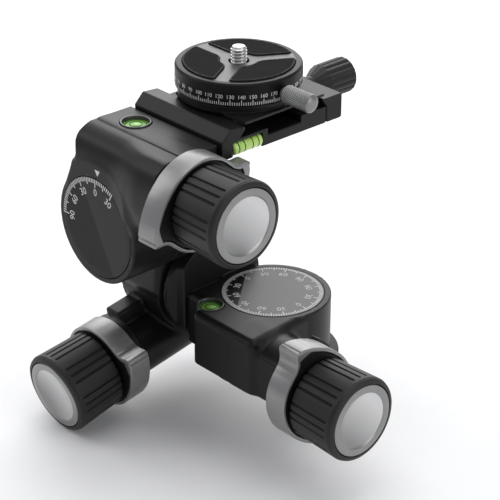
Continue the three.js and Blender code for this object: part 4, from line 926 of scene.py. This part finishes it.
# Each drive's frame and reach, where its lever's wing and first grooves point, and the relief.
DRIVES = (("pan", PAN_DRIVE, PAN_REACH, 117, 40, None),
          ("roll", ROLL_DRIVE, ROLL_REACH, 29.5, 5, None),
          ("tilt", TILT_DRIVE, TILT_REACH, 204, 37, (-4, 46, 39.8)))
for prefix, place, reach, tip, _, relief in DRIVES:
    add_lever(prefix, place, reach, tip, relief)
for prefix, place, reach, _, phase, _ in DRIVES:
    add_knob(prefix, place, reach, phase)


# ---- Base and dials ----

turned("base_disc", arcs([(7.3, 0), (25.9, 0, 0.3), (26.5, 0.6, 0.2), (26.5, 4.6, 0.5),
                          (26.0, 5.0, 0.3), (21.8, 5.0), (21.8, 6.5), (10, 6.5), (10, 9.0),
                          (7.3, 9.0)], 4),
       "base", "base", "black_metal", count=160, closed=True, replaces=["base_plate"])
turned("tripod_bush", [(4.2, 0.2), (7.1, 0.2), (7.1, 8.4), (4.2, 8.4)] +
       [(4.2 + (0.45 if k % 2 else 0.0), 8.4 - 8.2 * k / 14) for k in range(1, 14)],
       "steel", "base", "steel", count=64, closed=True, replaces=["socket_bush"])


def dial(name, place, look, body, slot, replaces):
    line = arcs([(0, -1.5), (20.2, -1.5), (20.2, 0, 0.15), (0, 0)], 3)
    line = line[:-1] + [(r, 0.0) for r in (17.5, 12, 6)] + [(0, 0)]
    return turned(name, line, look, body, slot, place, count=144, replaces=replaces)


dial("pan_scale_plate", PAN_DRUM, "dial_grey", "base", "dial_grey", ["pan_dial"])
dial("roll_scale_plate", ROLL_DRUM, "dial_black", "pan_body", "black_metal", ["roll_dial"])
dial("tilt_scale_plate", TILT_DRUM, "dial_black", "roll_body", "black_metal", ["tilt_dial"])

INK = 0.06


def words(text, size):
    """Points and faces of a line of figures, centred, its tops up along Y."""
    curve = bpy.data.curves.new("figures", "FONT")
    curve.body = text
    curve.size = size
    curve.extrude = INK / 2
    curve.resolution_u = 3
    curve.align_x, curve.align_y = "CENTER", "CENTER"
    holder = bpy.data.objects.new("figures", curve)
    mesh = bpy.data.meshes.new_from_object(holder)
    points = [(v.co.x, v.co.y, v.co.z) for v in mesh.vertices]
    faces = [tuple(f.vertices) for f in mesh.polygons]
    bpy.data.objects.remove(holder)
    bpy.data.curves.remove(curve)
    bpy.data.meshes.remove(mesh)
    return points, faces


def spun(part, angle, radius=0.0, height=0.0):
    """A part moved up to a radius and turned clockwise from the local up direction."""
    c, s = math.cos(angle), math.sin(angle)
    points = []
    for x, y, z in part[0]:
        y += radius
        points.append((x * c + y * s, -x * s + y * c, z + height))
    return points, part[1]


def scale_marks(name, place, body, slot, marks, look="print_white"):
    """Ticks and figures: marks are parts already in the dial's plane."""
    return add_piece(name, merge_parts(marks), look, body, slot, place, crease=20)


def ticks(start, end, step, outer, inner_of, width):
    made = []
    count = round((end - start) / step)
    for k in range(count + 1):
        degrees = start + k * step
        inner = inner_of(degrees)
        made.append(spun(bar((-width / 2, inner, -INK / 2), (width / 2, outer, INK / 2)),
                         math.radians(degrees), 0, INK / 2))
    return made


def tick_foot(degrees):
    """Where a tick starts: longer each 15 degrees, longest each 30."""
    return 16.7 if degrees % 30 == 0 else 17.4 if degrees % 15 == 0 else 18.4


def figures(size, radius, labels):
    return [spun(words(str(label), size), math.radians(degrees), radius, INK / 2)
            for degrees, label in labels]


SIDE_LABELS = ((-90, 90), (-60, 60), (-30, 30), (0, 0), (30, 30))
SIDE_MARKS = ticks(-90, 30, 3, 20.1, tick_foot, 0.44) + figures(4.0, 14.6, SIDE_LABELS)
scale_marks("tilt_scale_figures", TILT_DRUM, "roll_body", "black_metal", SIDE_MARKS)
scale_marks("roll_scale_figures", ROLL_DRUM, "pan_body", "black_metal", SIDE_MARKS)

turned("pan_scale_band", [(18.2, 0), (20.0, 0), (20.0, INK / 2), (18.2, INK / 2)], "dial_band",
       "base", "dial_grey", PAN_DRUM, count=144, closed=True)
# A dark ring over the gap round the pan dial: painted shade in the gap.
turned("pan_dial_gap_shade", [(20.15, -0.4), (20.6, -0.4), (20.6, 0.03), (20.15, 0.03)], "print_dark",
       "base", "dial_grey", PAN_DRUM, count=144, closed=True)
PAN_LABELS = [(30 * k, (90, 60, 30, 0, 30, 60)[k % 6]) for k in range(12)]
PAN_MARKS = ticks(0, 357, 3, 19.9, tick_foot, 0.42) + figures(3.7, 14.4, PAN_LABELS)
scale_marks("pan_scale_figures", PAN_DRUM, "base", "dial_grey", PAN_MARKS, "print_light")

POINTER = [(-1.5, 24.3), (0, 21.9), (1.5, 24.3)]
points = [(x + 1.7, y, z) for z in (0, INK) for x, y in POINTER]
POINTER_FACES = [(2, 1, 0), (3, 4, 5), (0, 1, 4, 3), (1, 2, 5, 4), (2, 0, 3, 5)]
add_piece("tilt_pointer", (points, POINTER_FACES), "print_white", "tilt_body", "black_metal",
          TILT_DRUM)
# A thin dark strip along the platform top: painted shade of a scored seam.
add_piece("platform_seam_shade", bar((-48.4, -46.25, PLATFORM_TOP), (0, -45.75, PLATFORM_TOP + 0.04)),
          "print_dark", "tilt_body", "black_metal")


# ---- Disc, pads, screws ----

turned("graduated_disc", arcs([(6.2, 111.2), (24.1, 111.2, 0.2), (DISC_R, 111.5, 0.2),
                               (DISC_R, 119.3, 0.3), (23.7, DISC_TOP, 0.4), (21.8, DISC_TOP),
                               (21.8, 118.6),
                               (5.4, 118.6), (5.4, 117.2), (3.4, 117.2), (3.4, 114.7),
                               (6.2, 114.7)], 3),
       "base", "rotator", "black_metal", DISC_SEAT, count=160, closed=True, replaces=["top_disc"])


def round_rim(degrees, height):
    """Bends a flat part onto the disc's side, at an angle and a height."""
    def bend(point):
        a = math.radians(degrees) + point[0] / DISC_R
        r = DISC_R + point[2]
        return (r * math.cos(a), r * math.sin(a), height + point[1])
    return bend


RIM_MARKS = []
for degrees in range(0, 360, 2):
    top = 2.0 if degrees % 10 == 0 else 1.2
    RIM_MARKS.append(bar((-0.13, 0, 0), (0.13, top, INK), round_rim(degrees, 111.7)))
for degrees in range(0, 360, 10):
    points, faces = words(str((degrees + 180) % 360), 2.1)
    bend = round_rim(degrees, 114.9)
    RIM_MARKS.append(([bend((x, y, z + INK / 2)) for x, y, z in points], faces))
scale_marks("disc_scale_figures", DISC_SEAT, "rotator", "black_metal", RIM_MARKS)

INDEX_ANGLE, INDEX_R, INDEX_Z = 6.7, 23.4, 109.5
c, s = turn(INDEX_ANGLE)
INDEX_SEAT = seat((INDEX_R * c + DISC_X, INDEX_R * s + DISC_Y, INDEX_Z), (-s, c, 0), Z_AXIS,
                  (c, s, 0))
add_piece("disc_index", bar((-0.45, -1.0, -0.05), (0.45, 1.0, INK)), "print_white", "top_plate",
          "black_metal", INDEX_SEAT)


PAD_R, PAD_WEB, PAD_ALONG, PAD_BAY, PAD_TOP = 21.4, 2.9, 6.6, 7.4, 120.6
PAD_ANGLES = (120, 240, 0)
RIB, RIB_ANGLE = 1.5, math.radians(45)
WEB_R = 21.9


def pad_outline(x, y, middle, growth):
    """Distance to one pad's outline: an arc outside, two sides beside the web and a shallow bay."""
    c, s = turn(middle)
    u, v = x * c + y * s, y * c - x * s
    half = math.radians(60)
    sides = np.abs(v) * math.cos(half) - u * math.sin(half) + PAD_WEB
    pad = meet(meet(np.hypot(x, y) - PAD_R, sides, 1.3), PAD_ALONG - u, 0.8)
    return meet(pad, PAD_BAY - np.hypot(x, y), 0.4) - growth


def web_field(p):
    """The light web left between the pads, with the well round the screw."""
    x, y, z = axes(p, DISC_X, DISC_Y)
    body = meet(np.hypot(x, y) - WEB_R, between(z, 118.55, DISC_TOP))
    pads = (pad_outline(x, y, middle, 0.3) for middle in PAD_ANGLES)
    return carve(body, either(np.hypot(x, y) - 4.0, *pads), 0.15)


cast("disc_web", web_field, (DISC_X - WEB_R, DISC_Y - WEB_R, 118.5),
     (DISC_X + WEB_R, DISC_Y + WEB_R, DISC_TOP), 0.5, "disc_top", "rotator", "black_metal", [])


def pad_field(middle):
    def field(p):
        x, y, z = axes(p, DISC_X, DISC_Y)
        edge = pad_outline(x, y, middle, 0)
        across = x * math.sin(RIB_ANGLE) - y * math.cos(RIB_ANGLE)
        ribs = 0.5 * (1 - np.abs(2 * ((across / RIB) % 1) - 1)) * ease(-edge, 0.3, 0.9)
        return meet(edge, between(z, 118.9, PAD_TOP) + np.where(z > 119.5, ribs, 0), 0.2)
    return field


for number, middle in enumerate(PAD_ANGLES, 1):
    a = np.radians(middle + np.linspace(-60, 60, 25))
    spots = np.outer([PAD_R, PAD_ALONG], np.cos(a)), np.outer([PAD_R, PAD_ALONG], np.sin(a))
    low = (spots[0].min() + DISC_X, spots[1].min() + DISC_Y, 118.9)
    high = (spots[0].max() + DISC_X, spots[1].max() + DISC_Y, PAD_TOP)
    cast(f"rubber_pad_{number}", pad_field(middle), low, high, PAD_CELL, "rubber", "rotator",
         "pad_rubber", [f"pad_{number}"])


def thread(radius, root, pitch, low, high, count=48, rows_per_turn=12):
    """Rows of a screw thread whose crest winds up the shank."""
    angle = np.arange(count) / count
    rows = []
    total = int((high - low) / pitch * rows_per_turn)
    for k in range(total + 1):
        z = low + (high - low) * k / total
        phase = (z / pitch - angle) % 1
        crest = np.clip(1.25 - 2.6 * np.abs(phase - 0.5), 0, 1)
        fade = min(1.0, (high - z) / (0.5 * pitch) + 0.15)
        rows.append((root + (radius - root) * crest * fade, z))
    return rows


rows = [(0, 115), (4.8, 115), (4.8, 116.7), (2.6, 116.7)]
rows += thread(3.175, 2.55, 1.27, 117.0, 125.5)
rows += [(2.5, 125.75), (2.2, 125.98), (1.1, 126.0), (0, 126.0)]
add_piece("camera_thread", wheel_rows(rows, 48), "bright_steel", "rotator", "bright_steel",
          DISC_SEAT, ["camera_screw"], crease=50)

KNURL_TURNS, KNURL_LEAN, KNURL_DEPTH = 26, 0.85, 0.3
LOCK_SEAT = seat((0, DISC_Y, 114.4), Y_AXIS, Z_AXIS, X_AXIS)


def knurl(r, z, angle):
    if z < 5.3 or z > 17.2 or r[0] < 3.3:
        return r
    a, b = ((angle / FULL * KNURL_TURNS + lean * z) % 1 for lean in (KNURL_LEAN, -KNURL_LEAN))
    return r + KNURL_DEPTH / 2 - KNURL_DEPTH * np.abs(2 * a - 1) - KNURL_DEPTH * np.abs(2 * b - 1)


line = arcs([(0, -13.6), (1.6, -13.6), (1.6, 3.2), (2.4, 3.2), (2.4, 4.6), (3.2, 4.6, 0.2),
             (3.55, 5.0, 0.2), (3.55, 17.4, 0.3), (2.9, 18.0, 0.4), (1.6, 18.4, 0.5),
             (0, 18.5)], 3)
section = refined(line, 8, 3, lambda long: np.linspace(0.1 / long, 1 - 0.1 / long, 70))
turned("lock_thumb_screw", section, "lock_steel", "lock", "bright_steel", LOCK_SEAT, count=208,
       shape=knurl, replaces=["lock_screw"], crease=60)

KNOB_SEAT = seat((SCREW_X, 0, SCREW_Z), Z_AXIS, X_AXIS, Y_AXIS)
line = arcs([(0, 51.2), (2.2, 51.2), (2.2, 33.2), (4.6, 33.2, 0.3), (4.6, 35.4, 0.4), (4, 35.4),
             (4, 38, 0.8), (7.2, 43.6, 0.8), (7.3, 56.6, 0.9), (5.8, 57.5, 0.5), (0, 57.5)], 4)
section = refined(line, 8, 7, lambda long: np.linspace(0.04, 0.96, 14))


def flutes(r, z, angle):
    if r[0] < 5.5 or z < 41:
        return r
    depth = 0.55 * ease(z, 42.5, 44.2) * (1 - ease(z, 55.6, 57.0))
    return r - depth * np.clip(np.abs(((angle * 16 / FULL) % 1) - 0.5) * 2, 0, 1) ** 1.6


turned("clamp_hand_knob", section, "grip", "jaw_screw", "black_knob", KNOB_SEAT, count=256,
       shape=flutes, replaces=["clamp_knob"], crease=50)


# ---- Levels ----

def flat_ring(inner, outer, low, high):
    return [(inner, low), (outer, low), (outer, high), (inner, high)]


def add_level(prefix, where, ring_r, body):
    """A round level: dark bezel, green fluid under it, two printed rings and the bubble."""
    place = seat(where, X_AXIS, Y_AXIS, Z_AXIS)
    glass = ring_r - 0.9
    turned(f"{prefix}_level_bezel", arcs([(glass + 0.1, -2.4), (ring_r, -2.4), (ring_r, 0.3, 0.2),
                                          (glass + 0.3, 0.3, 0.25), (glass + 0.1, -0.1)], 3),
           "level_ring", body, "black_metal", place, count=96, closed=True,
           replaces=[f"{prefix}_level_ring"])
    top = -0.9
    dome = [(glass * t, top - 0.4 * t * t) for t in np.linspace(1, 0, 10)]
    add_piece(f"{prefix}_level_glass", wheel_rows([(0, -2.4), (glass, -2.4)] + dome, 72), "fluid",
              body, "level_fluid", place, [f"{prefix}_level_vial"], crease=40)
    for number, share in enumerate((0.46, 0.8), 1):
        radius = glass * share
        height = top - 0.4 * share * share
        line = flat_ring(radius - 0.14, radius + 0.14, height - 0.1, height + 0.1)
        turned(f"{prefix}_level_line_{number}", line, "print_dark", body, "level_fluid", place,
               count=72, closed=True)
    spot = Matrix.Translation((0.5 * MM, 0.3 * MM, 0))
    bubble = [(0.34 * glass * t, top + 0.28 - 0.25 * t ** 4) for t in np.linspace(1, 0, 8)]
    rows = [(0, top - 0.3), (0.34 * glass, top - 0.3)] + bubble
    add_piece(f"{prefix}_level_bubble", wheel_rows(rows, 48), "bubble", body, "level_fluid",
              place @ spot)


add_level("pan", PAN_LEVEL, 5.4, "pan_body")
add_level("tilt", TILT_LEVEL, 6.0, "tilt_body")
VIAL_SEAT = seat((VIAL_X, 0, VIAL_Z), Z_AXIS, X_AXIS, Y_AXIS)
turned("clamp_level_tube", arcs([(0, -23.2), (2.6, -23.2, 0.9), (2.6, -8.9, 0.9), (0, -8.9)], 4),
       "vial_fluid", "tilt_body", "level_fluid", VIAL_SEAT, count=48, replaces=["clamp_vial"])
for number, along in enumerate((-20.9, -18.0, -14.1, -11.2), 1):
    turned(f"clamp_level_line_{number}", flat_ring(2.5, 2.64, along - 0.2, along + 0.2),
           "print_dark", "tilt_body", "level_fluid", VIAL_SEAT, count=48, closed=True)


# ---- Carried-over nodes ----

CARRIED = {"bronze": ("wheel", "sleeve"), "steel": ("axle", "worm", "bolt", "guide", "clamp_screw")}
for name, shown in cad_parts.items():
    if shown.hide_render:
        continue
    for look, parts in CARRIED.items():
        if any(part in name for part in parts):
            for index in range(max(1, len(shown.material_slots))):
                if shown.material_slots:
                    shown.material_slots[index].material = LOOK[look]
                else:
                    shown.data.materials.append(LOOK[look])


# ---- Floor, light and camera ----

def add_floor():
    size, steps = 3.0, 24
    points = [(size * (2 * i / steps - 1), size * (2 * j / steps - 1), cad_box[0].z - 0.0005)
              for i in range(steps + 1) for j in range(steps + 1)]
    faces = [(i * (steps + 1) + j, (i + 1) * (steps + 1) + j, (i + 1) * (steps + 1) + j + 1,
              i * (steps + 1) + j + 1) for i in range(steps) for j in range(steps)]
    mesh = bpy.data.meshes.new("floor")
    mesh.from_pydata(points, [], faces)
    mesh.materials.append(coat("Pale_studio_paper", 0.86, 0.80, 0.9, grain=800.0,
                               bump=(0.1, 0.00002), amount=0.2))
    add_object("floor", mesh)


def add_lamp(name, place, aim, size, power):
    lamp = bpy.data.lights.new(name, "AREA")
    lamp.shape = "RECTANGLE"
    lamp.size, lamp.size_y = size
    lamp.energy = power
    holder = add_object(name, lamp)
    holder.location = place
    holder.rotation_mode = "QUATERNION"
    holder.rotation_quaternion = (Vector(aim) - Vector(place)).to_track_quat("-Z", "Y")


add_floor()
AIM = (-0.01, -0.01, 0.06)
add_lamp("top_softbox", (-0.05, 0.1, 1.0), AIM, (0.9, 0.9), 5)
add_lamp("right_softbox", (1.0, 0.25, 0.45), AIM, (0.6, 0.8), 3)
add_lamp("left_softbox", (-0.9, -0.65, 0.85), AIM, (0.7, 0.7), 3.5)
add_lamp("back_softbox", (-0.8, 0.74, 0.62), AIM, (1.4, 0.9), 12)

world = bpy.data.worlds.new("pale_room")
bpy.context.scene.world = world
world.use_nodes = True
world.node_tree.nodes["Background"].inputs["Color"].default_value = (0.95, 0.96, 1.0, 1.0)
world.node_tree.nodes["Background"].inputs["Strength"].default_value = 0.45
bpy.context.scene.view_settings.view_transform = "Standard"

camera = bpy.data.cameras.new("camera")
camera.sensor_width = 36.0
camera.lens = 133.2
camera.clip_start, camera.clip_end = 0.05, 20.0
viewer = add_object("camera", camera)
EYE = (0.461693, -0.439669, 0.378124)
RIGHT, DOWN, AHEAD = ((0.678054, 0.735004, 0.003462), (0.339934, -0.309413, -0.888093),
                      (-0.651680, 0.603352, -0.459651))
turn = Matrix([(RIGHT[k], -DOWN[k], -AHEAD[k]) for k in range(3)])
viewer.matrix_world = Matrix.Translation(EYE) @ turn.to_4x4()
bpy.context.scene.camera = viewer
